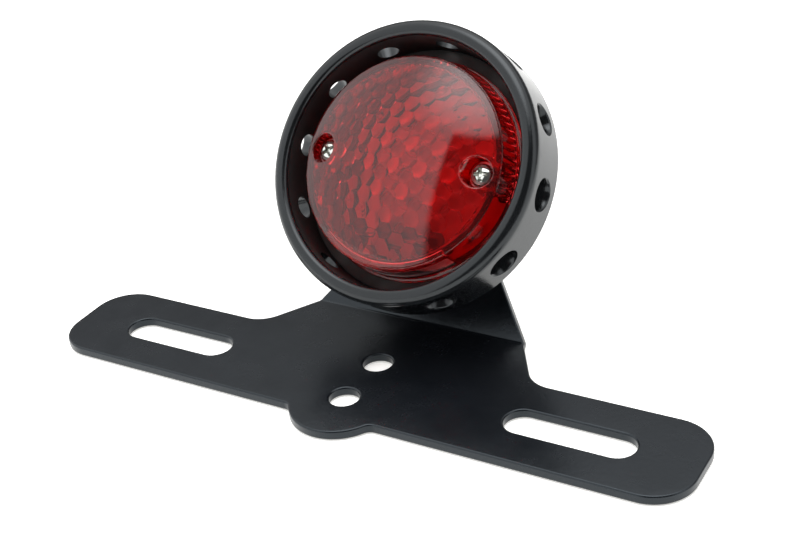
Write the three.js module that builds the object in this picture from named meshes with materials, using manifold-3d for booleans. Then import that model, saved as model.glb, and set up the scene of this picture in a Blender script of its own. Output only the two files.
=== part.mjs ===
// Round motorcycle tail light on a bent number-plate bracket.
// Units are millimetres and +Z is up. The origin is on the underside of the bracket, midway between its
// two round holes. +X runs along the wings and -Y is the side that the lamp faces.

import * as THREE from "three";
import { mergeVertices } from "three/addons/utils/BufferGeometryUtils.js";
import Module from "manifold-3d";

const wasm = await Module();
wasm.setup();

// ---- driving dimensions ------------------------------------------------------------------------

const CLEARANCE = 0.3; // between pieces that touch

// bracket, flat part
const SHEET = 2.7;
const WING_HALF_LENGTH = 97.6;
const WING_FRONT = -17.2;
const WING_BACK = 15.4;
const WING_CORNER_RADIUS = 11.6;
const SLOT_X = 62.1;
const SLOT_Y = (WING_FRONT + WING_BACK) / 2;
const SLOT_WIDTH = 10.2;
const SLOT_LENGTH = 36;
const HOLE_Y = 8.9;
const HOLE_RADIUS = 4.2;
const TAB_FRONT = -25;
const TAB_RADIUS = 13.9;
const TAB_FILLET = 3;
const NECK_CORNER_X = 43.9;
const NECK_FILLET = 8.9;
const NECK_HALF_WIDTH_AT_BEND = 33.8;

// bracket, upright part; heights are measured from the bend along the upright
const BEND_Y = 31.9;
const BEND_INNER_RADIUS = 1;
const UPRIGHT_TILT = THREE.MathUtils.degToRad(51.7); // between the wings and the upright
const UPRIGHT_NARROWING = 0.7; // half width lost for each millimetre of height
const LAMP_HEIGHT = 40.1; // of the lamp's axis
const HEAD_RADIUS = 22; // round head of the upright, centred on the lamp's axis
const HEAD_FILLET = 8;

// lamp, in its own frame: x to the right, y up along the upright, z out of the lens,
// with the origin at the centre of the ring's front plane
const LAMP_REACH = 33.9; // from the upright's front face to the ring's front plane
const RING_RADIUS = 40;
const RING_DEPTH = 17;
const RING_BORE = 35.4;
const RING_MOUTH = 37;
const RING_LIP_BORE = 29.5;
const RING_LIP_FRONT = -14.4;
const RING_HOLES = 12;
const RING_HOLE_RADIUS = 4.2; // at the outer wall
const RING_HOLE_INNER_RADIUS = 3.1; // at the bore
const RING_HOLE_CHAMFER = 0.45;
const RING_HOLE_SAG = 0.2; // how far the round wall falls away at a hole's sides
const RING_HOLE_Z = -9.2;
const RING_HOLE_TURN = THREE.MathUtils.degToRad(-2.6);

const LENS_EDGE_RADIUS = 29.9;
const LENS_EDGE_Z = -1.9;
const LENS_DOME_HEIGHT = 6.5;
const LENS_BASE_RADIUS = 30.8;
const LENS_FLANGE_RADIUS = 31.6;
const LENS_FLANGE_THICKNESS = 1.35;
const LENS_BASE_Z = -12.95;
const LENS_WALL = 2.2;
const WELL_X = 23.9;
const WELL_RADIUS = 4.1;
const WELL_WALL = 1.1;
const WELL_FLOOR_Z = -4.9;
const WELL_FLOOR = 1.6;
const LENS_BOSS_RADIUS = 3.4;
const LENS_SCREW_HOLE_RADIUS = 1.9;
const LENS_SCREW = { headRadius: 3.2, headHeight: 2.3, shankRadius: 1.5, length: 16 };
const LENS_SCREW_TURNS = [38, 12];

const WINDOW_HALF_ANGLE = THREE.MathUtils.degToRad(40);
const WINDOW_TOP_Z = -4;
const WINDOW_BOTTOM_Z = -11;

const GASKET_THICKNESS = 1;
const GASKET_BORE = 29.7;
const GASKET_RADIUS = 34.9;
const HOUSING_RIM_RADIUS = 36.4;
const HOUSING_BACK_RADIUS = 29;
const HOUSING_WALL = 2.2;
const HOUSING_FLOOR = 2.3;
const SPIGOT_TOP_Z = -15;
const LENS_POST_RADIUS = 3.4;
const BOARD_POST_RADIUS = 2.8;
const CABLE_HOLE_RADIUS = 4;
const PAD_THICKNESS = 1.4;
const PAD_RADIUS = 21.5;
const PAD_BORE = 9;

const BOARD_RADIUS = 26;
const BOARD_THICKNESS = 1.6;
const BOARD_TOP_Z = -20.4;
const BOARD_POST_Y = 22.2;
const BOARD_SCREW = { headRadius: 2.2, headHeight: 1.5, shankRadius: 1.15, length: 7 };
const LED_RADIUS = 2.5;
const LED_FLANGE_RADIUS = 2.9;
const LED_HEIGHT = 7;
const LED_PITCH = 7.6;

const BOLT_X = 13;
const BOLT_RADIUS = 2.5;
const GROMMET_HOLE_RADIUS = 5.5;
const GROMMET_RADIUS = 8;

// heights along the lamp's axis that follow from the sizes above
const RING_BACK_Z = -RING_DEPTH;
const HOUSING_RIM_Z = RING_BACK_Z - CLEARANCE;
const UPRIGHT_FRONT_Z = -LAMP_REACH;
const UPRIGHT_BACK_Z = UPRIGHT_FRONT_Z - SHEET;
const HOUSING_BACK_Z = UPRIGHT_FRONT_Z + PAD_THICKNESS + 2 * CLEARANCE;
const HOUSING_FLOOR_Z = HOUSING_BACK_Z + HOUSING_FLOOR;
const GASKET_TOP_Z = LENS_BASE_Z - CLEARANCE;
const LENS_POST_TOP_Z = LENS_BASE_Z - CLEARANCE;

// ---- materials ---------------------------------------------------------------------------------

function material(color, roughness, metalness) {
  return new THREE.MeshStandardMaterial({ color, roughness, metalness });
}

const blackCoat = () => material(0x1b1d1f, 0.45, 0.2);
const blackAnodised = () => material(0x202325, 0.35, 0.5);
const blackPlastic = () => material(0x17181a, 0.55, 0);
const redLens = () => material(0xb00d14, 0.12, 0);
const clearLens = () => material(0xd8dcdc, 0.1, 0);
const blackRubber = () => material(0x1c1c1c, 0.85, 0);
const chromedSteel = () => material(0xc9cccd, 0.2, 1);
const zincSteel = () => material(0xa9adb0, 0.35, 1);
const whiteBoard = () => material(0xe6e6e2, 0.5, 0);
const redEpoxy = () => material(0xc21a1f, 0.2, 0);
const clearEpoxy = () => material(0xe6e8e4, 0.15, 0);
const tanCeramic = () => material(0xc7a878, 0.6, 0);

// ---- solids ------------------------------------------------------------------------------------

/** A closed three.js geometry as a manifold solid. */
function solid(geometry) {
  const bare = geometry.clone();
  bare.deleteAttribute("normal");
  bare.deleteAttribute("uv");
  const merged = mergeVertices(bare, 1e-4);
  const vertProperties = Float32Array.from(merged.attributes.position.array);
  const triVerts = Uint32Array.from(merged.index.array);
  return new wasm.Manifold(new wasm.Mesh({ numProp: 3, vertProperties, triVerts }));
}

/** A manifold solid as a three.js geometry. */
function geometryOf(body) {
  const mesh = body.getMesh();
  const geometry = new THREE.BufferGeometry();
  geometry.setAttribute("position", new THREE.BufferAttribute(Float32Array.from(mesh.vertProperties), 3));
  geometry.setIndex(new THREE.BufferAttribute(Uint32Array.from(mesh.triVerts), 1));
  geometry.computeVertexNormals();
  return geometry;
}

function joined(bodies) {
  return bodies.reduce((sum, body) => sum.add(body));
}

function cut(body, tools) {
  return tools.reduce((rest, tool) => rest.subtract(tool), body);
}

/** A shape of revolution about z, from [radius, z] points that end on the axis or close on themselves. */
function turnedGeometry(points, segments) {
  const profile = points.map(([radius, z]) => new THREE.Vector2(radius, z));
  const area = profile.reduce((sum, p, i) => {
    const q = profile[(i + 1) % profile.length];
    return sum + p.x * q.y - q.x * p.y;
  }, 0);
  if (area < 0) {
    profile.reverse();
  }
  if (profile[0].x > 0) {
    profile.push(profile[0].clone());
  }
  const geometry = new THREE.LatheGeometry(profile, segments);
  return geometry.rotateX(Math.PI / 2);
}

/** A ring of rectangular section between two heights. */
function washerGeometry(inner, outer, low, high, segments) {
  return turnedGeometry([[inner, low], [outer, low], [outer, high], [inner, high]], segments);
}

/** A round bar along z between two heights. */
function barGeometry(radius, low, high, segments) {
  return turnedGeometry([[0, low], [radius, low], [radius, high], [0, high]], segments);
}

/** An outline in x and y, extruded in z between two heights. */
function plateGeometry(shape, low, high, curveSegments = 12) {
  const options = { depth: high - low, bevelEnabled: false, curveSegments };
  return new THREE.ExtrudeGeometry(shape, options).translate(0, 0, low);
}

function hexagon(acrossFlats) {
  const shape = new THREE.Shape();
  const radius = acrossFlats / Math.sqrt(3);
  for (let corner = 0; corner < 6; corner += 1) {
    const angle = (corner * Math.PI) / 3;
    const x = radius * Math.cos(angle);
    const y = radius * Math.sin(angle);
    if (corner === 0) {
      shape.moveTo(x, y);
    } else {
      shape.lineTo(x, y);
    }
  }
  shape.closePath();
  return shape;
}

function piece(name, geometry, look) {
  const mesh = new THREE.Mesh(geometry, look);
  mesh.name = name;
  return mesh;
}

// ---- bracket -----------------------------------------------------------------------------------

/** Adds an arc that rounds the corner between the current point and two further ones. */
function roundCorner(path, from, corner, to, radius) {
  const a = from.clone().sub(corner).normalize();
  const b = to.clone().sub(corner).normalize();
  const half = a.angleTo(b) / 2;
  const start = corner.clone().addScaledVector(a, radius / Math.tan(half));
  const middle = a.clone().add(b).normalize();
  const centre = corner.clone().addScaledVector(middle, radius / Math.sin(half));
  const end = corner.clone().addScaledVector(b, radius / Math.tan(half));
  const startAngle = Math.atan2(start.y - centre.y, start.x - centre.x);
  const endAngle = Math.atan2(end.y - centre.y, end.x - centre.x);
  const clockwise = a.x * b.y - a.y * b.x > 0;
  path.lineTo(start.x, start.y);
  path.absarc(centre.x, centre.y, radius, startAngle, endAngle, clockwise);
}

/** Plan of the flat part: round tab in front, two wings, and a neck that narrows towards the bend. */
function wingOutline() {
  const bendOverrun = 0.6;
  const narrowing = (NECK_CORNER_X - NECK_HALF_WIDTH_AT_BEND) / (BEND_Y - WING_BACK);
  const neckX = NECK_HALF_WIDTH_AT_BEND - narrowing * bendOverrun;
  const rightCorners = [
    [0, WING_FRONT, 0],
    [WING_HALF_LENGTH, WING_FRONT, WING_CORNER_RADIUS],
    [WING_HALF_LENGTH, WING_BACK, WING_CORNER_RADIUS],
    [NECK_CORNER_X, WING_BACK, NECK_FILLET],
    [neckX, BEND_Y + bendOverrun, 0],
  ];
  const leftCorners = rightCorners.map(([x, y, radius]) => [-x, y, radius]).reverse();
  const corners = [...rightCorners, ...leftCorners];
  const points = corners.map(([x, y]) => new THREE.Vector2(x, y));

  const noseY = TAB_FRONT + TAB_RADIUS;
  const filletY = WING_FRONT - TAB_FILLET;
  const reach = TAB_RADIUS + TAB_FILLET;
  const filletX = Math.sqrt(reach * reach - (noseY - filletY) ** 2);
  const noseAngle = Math.atan2(filletY - noseY, filletX);
  const shape = new THREE.Shape();
  shape.absarc(0, noseY, TAB_RADIUS, -Math.PI / 2, noseAngle, false);
  shape.absarc(filletX, filletY, TAB_FILLET, noseAngle + Math.PI, Math.PI / 2, true);
  for (let i = 1; i < points.length - 1; i += 1) {
    if (corners[i][2] > 0) {
      roundCorner(shape, points[i - 1], points[i], points[i + 1], corners[i][2]);
    } else {
      shape.lineTo(points[i].x, points[i].y);
    }
  }
  shape.absarc(-filletX, filletY, TAB_FILLET, Math.PI / 2, -noseAngle, true);
  shape.absarc(0, noseY, TAB_RADIUS, Math.PI - noseAngle, (3 * Math.PI) / 2, false);
  shape.closePath();
  return shape;
}

/** Outline of the upright in the lamp's x and y: two slanting sides and a round head. */
function uprightOutline() {
  const bendY = -LAMP_HEIGHT;
  const overlap = 4;
  const side = new THREE.Vector2(-UPRIGHT_NARROWING, 1).normalize();
  const outward = new THREE.Vector2(side.y, -side.x);
  const sideFoot = new THREE.Vector2(NECK_HALF_WIDTH_AT_BEND, bendY);
  // centre of the fillet that runs from the slanting side into the round head
  const lineOffset = sideFoot.dot(outward) + HEAD_FILLET;
  const reach = HEAD_RADIUS + HEAD_FILLET;
  const along = -Math.sqrt(reach * reach - lineOffset * lineOffset);
  const fillet = outward.clone().multiplyScalar(lineOffset).addScaledVector(side, along);
  const onSide = fillet.clone().addScaledVector(outward, -HEAD_FILLET);
  const onHead = fillet.clone().multiplyScalar(HEAD_RADIUS / reach);
  const sideAngle = Math.atan2(onSide.y - fillet.y, onSide.x - fillet.x);
  const headAngle = Math.atan2(onHead.y - fillet.y, onHead.x - fillet.x);
  const headStart = Math.atan2(onHead.y, onHead.x);
  const shape = new THREE.Shape();
  shape.moveTo(sideFoot.x, bendY - overlap);
  shape.lineTo(sideFoot.x, sideFoot.y);
  shape.lineTo(onSide.x, onSide.y);
  shape.absarc(fillet.x, fillet.y, HEAD_FILLET, sideAngle, headAngle, true);
  shape.absarc(0, 0, HEAD_RADIUS, headStart, Math.PI - headStart, false);
  shape.absarc(-fillet.x, fillet.y, HEAD_FILLET, Math.PI - headAngle, Math.PI - sideAngle, true);
  shape.lineTo(-sideFoot.x, sideFoot.y);
  shape.lineTo(-sideFoot.x, bendY - overlap);
  shape.closePath();
  return shape;
}

/** Side view of the whole bent sheet in y and z, extruded across its full width. */
function bentSheet() {
  const tangent = BEND_INNER_RADIUS * Math.tan(UPRIGHT_TILT / 2);
  const outerRadius = BEND_INNER_RADIUS + SHEET;
  const top = LAMP_HEIGHT + HEAD_RADIUS + 5;
  const along = new THREE.Vector2(Math.cos(UPRIGHT_TILT), Math.sin(UPRIGHT_TILT));
  const back = new THREE.Vector2(along.y, -along.x);
  const centre = new THREE.Vector2(BEND_Y - tangent, SHEET + BEND_INNER_RADIUS);
  const frontTop = new THREE.Vector2(BEND_Y, SHEET).addScaledVector(along, top);
  const backTop = frontTop.clone().addScaledVector(back, SHEET);
  const flatAngle = -Math.PI / 2;
  const shape = new THREE.Shape();
  shape.moveTo(TAB_FRONT - 5, 0);
  shape.lineTo(centre.x, 0);
  shape.absarc(centre.x, centre.y, outerRadius, flatAngle, flatAngle + UPRIGHT_TILT, false);
  shape.lineTo(backTop.x, backTop.y);
  shape.lineTo(frontTop.x, frontTop.y);
  shape.absarc(centre.x, centre.y, BEND_INNER_RADIUS, flatAngle + UPRIGHT_TILT, flatAngle, true);
  shape.lineTo(TAB_FRONT - 5, SHEET);
  shape.closePath();
  const width = WING_HALF_LENGTH + 5;
  const geometry = plateGeometry(shape, -width, width, 4);
  const axes = new THREE.Matrix4().makeBasis(
    new THREE.Vector3(0, 1, 0),
    new THREE.Vector3(0, 0, 1),
    new THREE.Vector3(1, 0, 0),
  );
  return solid(geometry.applyMatrix4(axes));
}

function slotShape(x) {
  const half = (SLOT_LENGTH - SLOT_WIDTH) / 2;
  const radius = SLOT_WIDTH / 2;
  const shape = new THREE.Shape();
  shape.absarc(x + half, SLOT_Y, radius, -Math.PI / 2, Math.PI / 2, false);
  shape.absarc(x - half, SLOT_Y, radius, Math.PI / 2, (3 * Math.PI) / 2, false);
  shape.closePath();
  return shape;
}

/** Moves a body from the lamp's frame into the object's frame. */
function lampMatrix() {
  const up = new THREE.Vector3(0, Math.cos(UPRIGHT_TILT), Math.sin(UPRIGHT_TILT));
  const out = new THREE.Vector3(0, -Math.sin(UPRIGHT_TILT), Math.cos(UPRIGHT_TILT));
  const centre = new THREE.Vector3(0, BEND_Y, SHEET)
    .addScaledVector(up, LAMP_HEIGHT)
    .addScaledVector(out, LAMP_REACH);
  const matrix = new THREE.Matrix4().makeBasis(new THREE.Vector3(1, 0, 0), up, out);
  return matrix.setPosition(centre);
}

function bracket() {
  const above = 12;
  const flatMask = solid(plateGeometry(wingOutline(), -2, above, 8));
  const uprightLow = UPRIGHT_BACK_Z - 2;
  const uprightHigh = UPRIGHT_FRONT_Z + 2;
  const uprightMaskGeometry = plateGeometry(uprightOutline(), uprightLow, uprightHigh, 16);
  const uprightMask = solid(uprightMaskGeometry.applyMatrix4(lampMatrix()));
  const sheet = bentSheet().intersect(flatMask.add(uprightMask));
  const flatTools = [
    ...[-SLOT_X, SLOT_X].map((x) => solid(plateGeometry(slotShape(x), -2, above, 8))),
    ...[-HOLE_Y, HOLE_Y].map((y) => solid(barGeometry(HOLE_RADIUS, -2, above, 24).translate(0, y, 0))),
  ];
  const uprightTools = [
    barGeometry(GROMMET_HOLE_RADIUS, uprightLow, uprightHigh, 20),
    ...[-BOLT_X, BOLT_X].map((x) =>
      barGeometry(BOLT_RADIUS + CLEARANCE, uprightLow, uprightHigh, 16).translate(x, 0, 0),
    ),
  ].map((tool) => solid(tool.applyMatrix4(lampMatrix())));
  return piece("bracket", geometryOf(cut(sheet, [...flatTools, ...uprightTools])), blackCoat());
}

// ---- bezel ring --------------------------------------------------------------------------------

/** Points of a quarter circle in a turned profile, from one angle to another in degrees. */
function profileArc(centreRadius, centreZ, radius, fromDegrees, toDegrees, steps) {
  const points = [];
  for (let step = 0; step <= steps; step += 1) {
    const degrees = fromDegrees + ((toDegrees - fromDegrees) * step) / steps;
    const angle = THREE.MathUtils.degToRad(degrees);
    points.push([centreRadius + radius * Math.cos(angle), centreZ + radius * Math.sin(angle)]);
  }
  return points;
}

function bezelRing() {
  const outerRounding = 2.6;
  const innerRounding = RING_MOUTH - RING_BORE;
  const backChamfer = 0.5;
  const profile = [
    [RING_LIP_BORE, RING_BACK_Z],
    [RING_RADIUS - backChamfer, RING_BACK_Z],
    [RING_RADIUS, RING_BACK_Z + backChamfer],
    ...profileArc(RING_RADIUS - outerRounding, -outerRounding, outerRounding, 0, 90, 3),
    ...profileArc(RING_MOUTH, -innerRounding, innerRounding, 90, 180, 2),
    [RING_BORE, RING_LIP_FRONT],
    [RING_LIP_BORE, RING_LIP_FRONT],
  ];
  const blank = solid(turnedGeometry(profile, 72));
  const beyond = 1;
  const chamferStart = RING_RADIUS - RING_HOLE_SAG - RING_HOLE_CHAMFER;
  const drill = turnedGeometry(
    [
      [0, RING_BORE - beyond],
      [RING_HOLE_INNER_RADIUS, RING_BORE - beyond],
      [RING_HOLE_INNER_RADIUS, RING_BORE],
      [RING_HOLE_RADIUS, chamferStart],
      [RING_HOLE_RADIUS + RING_RADIUS + beyond - chamferStart, RING_RADIUS + beyond],
      [0, RING_RADIUS + beyond],
    ],
    16,
  );
  const drills = [];
  for (let hole = 0; hole < RING_HOLES; hole += 1) {
    const turn = RING_HOLE_TURN + (hole * 2 * Math.PI) / RING_HOLES;
    const tool = drill.clone();
    tool.rotateY(Math.PI / 2);
    tool.translate(0, 0, RING_HOLE_Z);
    tool.rotateZ(turn);
    drills.push(solid(tool));
  }
  return piece("bezel_ring", geometryOf(cut(blank, drills)), blackAnodised());
}

// ---- lens --------------------------------------------------------------------------------------

/** Height of a dome above its edge plane at a radius. */
function domeHeight(radius, edgeRadius, height) {
  const sphere = (edgeRadius * edgeRadius + height * height) / (2 * height);
  return Math.sqrt(sphere * sphere - radius * radius) - (sphere - height);
}

function domePoints(edgeRadius, edgeZ, height, steps) {
  const points = [];
  for (let step = 0; step <= steps; step += 1) {
    const radius = (edgeRadius * (steps - step)) / steps;
    points.push([radius, edgeZ + domeHeight(radius, edgeRadius, height)]);
  }
  return points;
}

function lensOuter(segments) {
  const edge = 0.9;
  return solid(
    turnedGeometry(
      [
        [0, LENS_BASE_Z],
        [LENS_FLANGE_RADIUS, LENS_BASE_Z],
        [LENS_FLANGE_RADIUS, LENS_BASE_Z + LENS_FLANGE_THICKNESS],
        [LENS_BASE_RADIUS, LENS_BASE_Z + LENS_FLANGE_THICKNESS],
        [LENS_EDGE_RADIUS + edge * 0.5, LENS_EDGE_Z - edge],
        ...domePoints(LENS_EDGE_RADIUS, LENS_EDGE_Z, LENS_DOME_HEIGHT, 6),
      ],
      segments,
    ),
  );
}

function lensInner(segments) {
  const below = LENS_BASE_Z - 2;
  return solid(
    turnedGeometry(
      [
        [0, below],
        [LENS_BASE_RADIUS - LENS_WALL, below],
        [LENS_BASE_RADIUS - LENS_WALL, LENS_BASE_Z],
        ...domePoints(LENS_EDGE_RADIUS - LENS_WALL, LENS_EDGE_Z - LENS_WALL, LENS_DOME_HEIGHT, 4),
      ],
      segments,
    ),
  );
}

/** A wedge about the downward direction, between two heights. */
function windowSector(halfAngle, low, high) {
  const reach = 45; // past the lens
  const middleReach = 1.3 * reach;
  const middle = -Math.PI / 2;
  const shape = new THREE.Shape();
  shape.moveTo(0, 0);
  shape.lineTo(reach * Math.cos(middle - halfAngle), reach * Math.sin(middle - halfAngle));
  shape.lineTo(middleReach * Math.cos(middle), middleReach * Math.sin(middle));
  shape.lineTo(reach * Math.cos(middle + halfAngle), reach * Math.sin(middle + halfAngle));
  shape.closePath();
  return solid(plateGeometry(shape, low, high));
}

function lensPieces() {
  const segments = 56;
  const outer = lensOuter(segments);
  const inner = lensInner(segments);
  const top = LENS_EDGE_Z + LENS_DOME_HEIGHT + 2;
  const wellRim = WELL_RADIUS + WELL_WALL;
  const blocks = [];
  const cuts = [];
  [-WELL_X, WELL_X].forEach((x) => {
    blocks.push(solid(barGeometry(wellRim, WELL_FLOOR_Z - WELL_FLOOR, top, 20).translate(x, 0, 0)));
    blocks.push(solid(barGeometry(LENS_BOSS_RADIUS, LENS_BASE_Z, WELL_FLOOR_Z, 16).translate(x, 0, 0)));
    cuts.push(solid(barGeometry(WELL_RADIUS, WELL_FLOOR_Z, top, 20).translate(x, 0, 0)));
    const screwHole = barGeometry(LENS_SCREW_HOLE_RADIUS, LENS_BASE_Z - 1, WELL_FLOOR_Z + 1, 12);
    cuts.push(solid(screwHole.translate(x, 0, 0)));
  });
  const shell = outer.subtract(inner);
  const body = cut(shell.add(joined(blocks).intersect(outer)), cuts);
  const gapAngle = CLEARANCE / LENS_BASE_RADIUS;
  const opening = windowSector(WINDOW_HALF_ANGLE, WINDOW_BOTTOM_Z, WINDOW_TOP_Z);
  const insert = windowSector(
    WINDOW_HALF_ANGLE - gapAngle,
    WINDOW_BOTTOM_Z + CLEARANCE,
    WINDOW_TOP_Z - CLEARANCE,
  );
  return [
    piece("lens", geometryOf(body.subtract(opening)), redLens()),
    piece("plate_window", geometryOf(shell.intersect(insert)), clearLens()),
  ];
}

function lensGasket() {
  const low = GASKET_TOP_Z - GASKET_THICKNESS + CLEARANCE / 2;
  const geometry = washerGeometry(GASKET_BORE, GASKET_RADIUS, low, GASKET_TOP_Z, 48);
  return piece("lens_gasket", geometry, blackRubber());
}

/** Cross-head pan screw pointing down the z axis, with its seat at z = 0. */
function panScrew({ headRadius, headHeight, shankRadius, length }) {
  const crown = 0.35 * headHeight;
  const pointRadius = 0.7 * shankRadius;
  const pointLength = 0.5 * shankRadius;
  const crownRadius = 0.8 * headRadius;
  const body = solid(
    turnedGeometry(
      [
        [0, -length],
        [pointRadius, -length],
        [shankRadius, -length + pointLength],
        [shankRadius, 0],
        [headRadius, 0],
        [headRadius, headHeight - 2 * crown],
        [crownRadius, headHeight - crown / 2],
        [0, headHeight],
      ],
      16,
    ),
  );
  const arm = headRadius * 1.2;
  const slotWidth = headRadius * 0.3;
  const recess = headHeight * 0.55;
  const recessBox = (x, y) => solid(new THREE.BoxGeometry(x, y, 2 * recess).translate(0, 0, headHeight));
  return cut(body, [recessBox(arm, slotWidth), recessBox(slotWidth, arm)]);
}

function lensScrews() {
  const screw = geometryOf(panScrew(LENS_SCREW));
  return [-1, 1].map((side, i) => {
    const mesh = piece(side < 0 ? "lens_screw_left" : "lens_screw_right", screw.clone(), chromedSteel());
    mesh.position.set(side * WELL_X, 0, WELL_FLOOR_Z + CLEARANCE);
    mesh.rotation.z = THREE.MathUtils.degToRad(LENS_SCREW_TURNS[i]);
    return mesh;
  });
}

// ---- housing -----------------------------------------------------------------------------------

function lampHousing() {
  const rimDepth = 2.2;
  const spigotRadius = RING_LIP_BORE - CLEARANCE;
  const spigotBore = 27;
  const backRounding = 2;
  const sideTopRadius = 33;
  const insideTopRadius = sideTopRadius - HOUSING_WALL - 0.6;
  const shell = solid(
    turnedGeometry(
      [
        [0, HOUSING_BACK_Z],
        [HOUSING_BACK_RADIUS - backRounding, HOUSING_BACK_Z],
        [HOUSING_BACK_RADIUS - 0.3 * backRounding, HOUSING_BACK_Z + 0.3 * backRounding],
        [HOUSING_BACK_RADIUS, HOUSING_BACK_Z + backRounding],
        [sideTopRadius, HOUSING_RIM_Z - rimDepth - 1],
        [HOUSING_RIM_RADIUS, HOUSING_RIM_Z - rimDepth],
        [HOUSING_RIM_RADIUS, HOUSING_RIM_Z],
        [spigotRadius, HOUSING_RIM_Z],
        [spigotRadius, SPIGOT_TOP_Z],
        [spigotBore, SPIGOT_TOP_Z],
        [spigotBore, HOUSING_RIM_Z - 1],
        [insideTopRadius, HOUSING_RIM_Z - rimDepth - 1.5],
        [HOUSING_BACK_RADIUS - HOUSING_WALL, HOUSING_FLOOR_Z],
        [0, HOUSING_FLOOR_Z],
      ],
      48,
    ),
  );
  const base = HOUSING_FLOOR_Z - 1;
  const boardPostTop = BOARD_TOP_Z - BOARD_THICKNESS - CLEARANCE;
  const lensBoreEnd = -22;
  const boardBoreEnd = -28.5;
  const posts = [];
  const bores = [];
  [-1, 1].forEach((side) => {
    const lensPost = barGeometry(LENS_POST_RADIUS, base, LENS_POST_TOP_Z, 20);
    const boardPost = barGeometry(BOARD_POST_RADIUS, base, boardPostTop, 16);
    const lensBore = barGeometry(LENS_SCREW.shankRadius + CLEARANCE, lensBoreEnd, LENS_POST_TOP_Z + 1, 16);
    const boardBore = barGeometry(BOARD_SCREW.shankRadius + CLEARANCE, boardBoreEnd, boardPostTop + 1, 12);
    posts.push(solid(lensPost.translate(side * WELL_X, 0, 0)));
    posts.push(solid(boardPost.translate(0, side * BOARD_POST_Y, 0)));
    bores.push(solid(lensBore.translate(side * WELL_X, 0, 0)));
    bores.push(solid(boardBore.translate(0, side * BOARD_POST_Y, 0)));
    const boltBore = barGeometry(BOLT_RADIUS + CLEARANCE, HOUSING_BACK_Z - 1, HOUSING_FLOOR_Z + 1, 16);
    bores.push(solid(boltBore.translate(side * BOLT_X, 0, 0)));
  });
  bores.push(solid(barGeometry(CABLE_HOLE_RADIUS, HOUSING_BACK_Z - 1, HOUSING_FLOOR_Z + 1, 20)));
  const body = cut(shell.add(joined(posts)), bores);
  return piece("lamp_housing", geometryOf(body), blackPlastic());
}

function housingPad() {
  const low = UPRIGHT_FRONT_Z + CLEARANCE;
  const disc = solid(washerGeometry(PAD_BORE, PAD_RADIUS, low, low + PAD_THICKNESS, 40));
  const holes = [-BOLT_X, BOLT_X].map((x) =>
    solid(barGeometry(BOLT_RADIUS + CLEARANCE, low - 1, low + PAD_THICKNESS + 1, 16).translate(x, 0, 0)),
  );
  return piece("housing_pad", geometryOf(cut(disc, holes)), blackRubber());
}

// ---- circuit board -----------------------------------------------------------------------------

function circuitBoard() {
  const low = BOARD_TOP_Z - BOARD_THICKNESS;
  const notchRadius = 4;
  const screwHoleRadius = BOARD_SCREW.shankRadius + 0.35;
  const disc = solid(barGeometry(BOARD_RADIUS, low, BOARD_TOP_Z, 48));
  const tools = [];
  [-1, 1].forEach((side) => {
    const notch = barGeometry(notchRadius, low - 1, BOARD_TOP_Z + 1, 20);
    const screwHole = barGeometry(screwHoleRadius, low - 1, BOARD_TOP_Z + 1, 12);
    tools.push(solid(notch.translate(side * WELL_X, 0, 0)));
    tools.push(solid(screwHole.translate(0, side * BOARD_POST_Y, 0)));
  });
  return piece("circuit_board", geometryOf(cut(disc, tools)), whiteBoard());
}

function boardScrews() {
  const screw = geometryOf(panScrew(BOARD_SCREW));
  return [-1, 1].map((side) => {
    const mesh = piece(side < 0 ? "board_screw_bottom" : "board_screw_top", screw.clone(), zincSteel());
    mesh.position.set(0, side * BOARD_POST_Y, BOARD_TOP_Z + CLEARANCE);
    return mesh;
  });
}

/** An LED standing on z = 0 with its dome up. */
function ledGeometry() {
  const radius = LED_RADIUS;
  const height = LED_HEIGHT;
  return turnedGeometry(
    [
      [0, 0],
      [LED_FLANGE_RADIUS, 0],
      [LED_FLANGE_RADIUS, 1],
      [radius, 1],
      [radius, height - radius],
      [radius * 0.75, height - 0.45 * radius],
      [0, height],
    ],
    10,
  );
}

/** Centres of a hexagonal field: one in the middle, six around it and twelve around those. */
function hexagonalField(pitch) {
  const centres = [];
  for (let row = -2; row <= 2; row += 1) {
    const count = 5 - Math.abs(row);
    for (let place = 0; place < count; place += 1) {
      const x = (place - (count - 1) / 2) * pitch;
      centres.push([x, (row * pitch * Math.sqrt(3)) / 2]);
    }
  }
  return centres;
}

function signalLeds() {
  return hexagonalField(LED_PITCH).map(([x, y], i) => {
    const mesh = piece(`led_${String(i).padStart(2, "0")}`, ledGeometry(), redEpoxy());
    mesh.position.set(x, y, BOARD_TOP_Z + CLEARANCE);
    return mesh;
  });
}

function plateLight() {
  const holderTop = -19.3; // along the lamp's y axis
  const holderThickness = 1.6;
  const holderWidth = 22;
  const ledX = 7;
  const ledZ = -8.6;
  const holderLow = BOARD_TOP_Z + CLEARANCE;
  const holderHigh = -5.5;
  const size = [holderWidth, holderThickness, holderHigh - holderLow];
  const holder = piece("plate_led_holder", new THREE.BoxGeometry(...size), blackPlastic());
  holder.position.set(0, holderTop + holderThickness / 2, (holderLow + holderHigh) / 2);
  const leds = [-1, 1].map((side) => {
    const mesh = piece(side < 0 ? "plate_led_left" : "plate_led_right", ledGeometry(), clearEpoxy());
    mesh.position.set(side * ledX, holderTop - CLEARANCE, ledZ);
    mesh.rotation.x = Math.PI / 2;
    return mesh;
  });
  return [holder, ...leds];
}

/** An axial component lying on the board: a bar with rounded shoulders along its own z axis. */
function axialGeometry(length, radius) {
  const half = length / 2;
  const shoulder = radius * 0.4;
  return turnedGeometry(
    [
      [0, -half],
      [radius - shoulder, -half],
      [radius, -half + shoulder],
      [radius, half - shoulder],
      [radius - shoulder, half],
      [0, half],
    ],
    12,
  );
}

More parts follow.
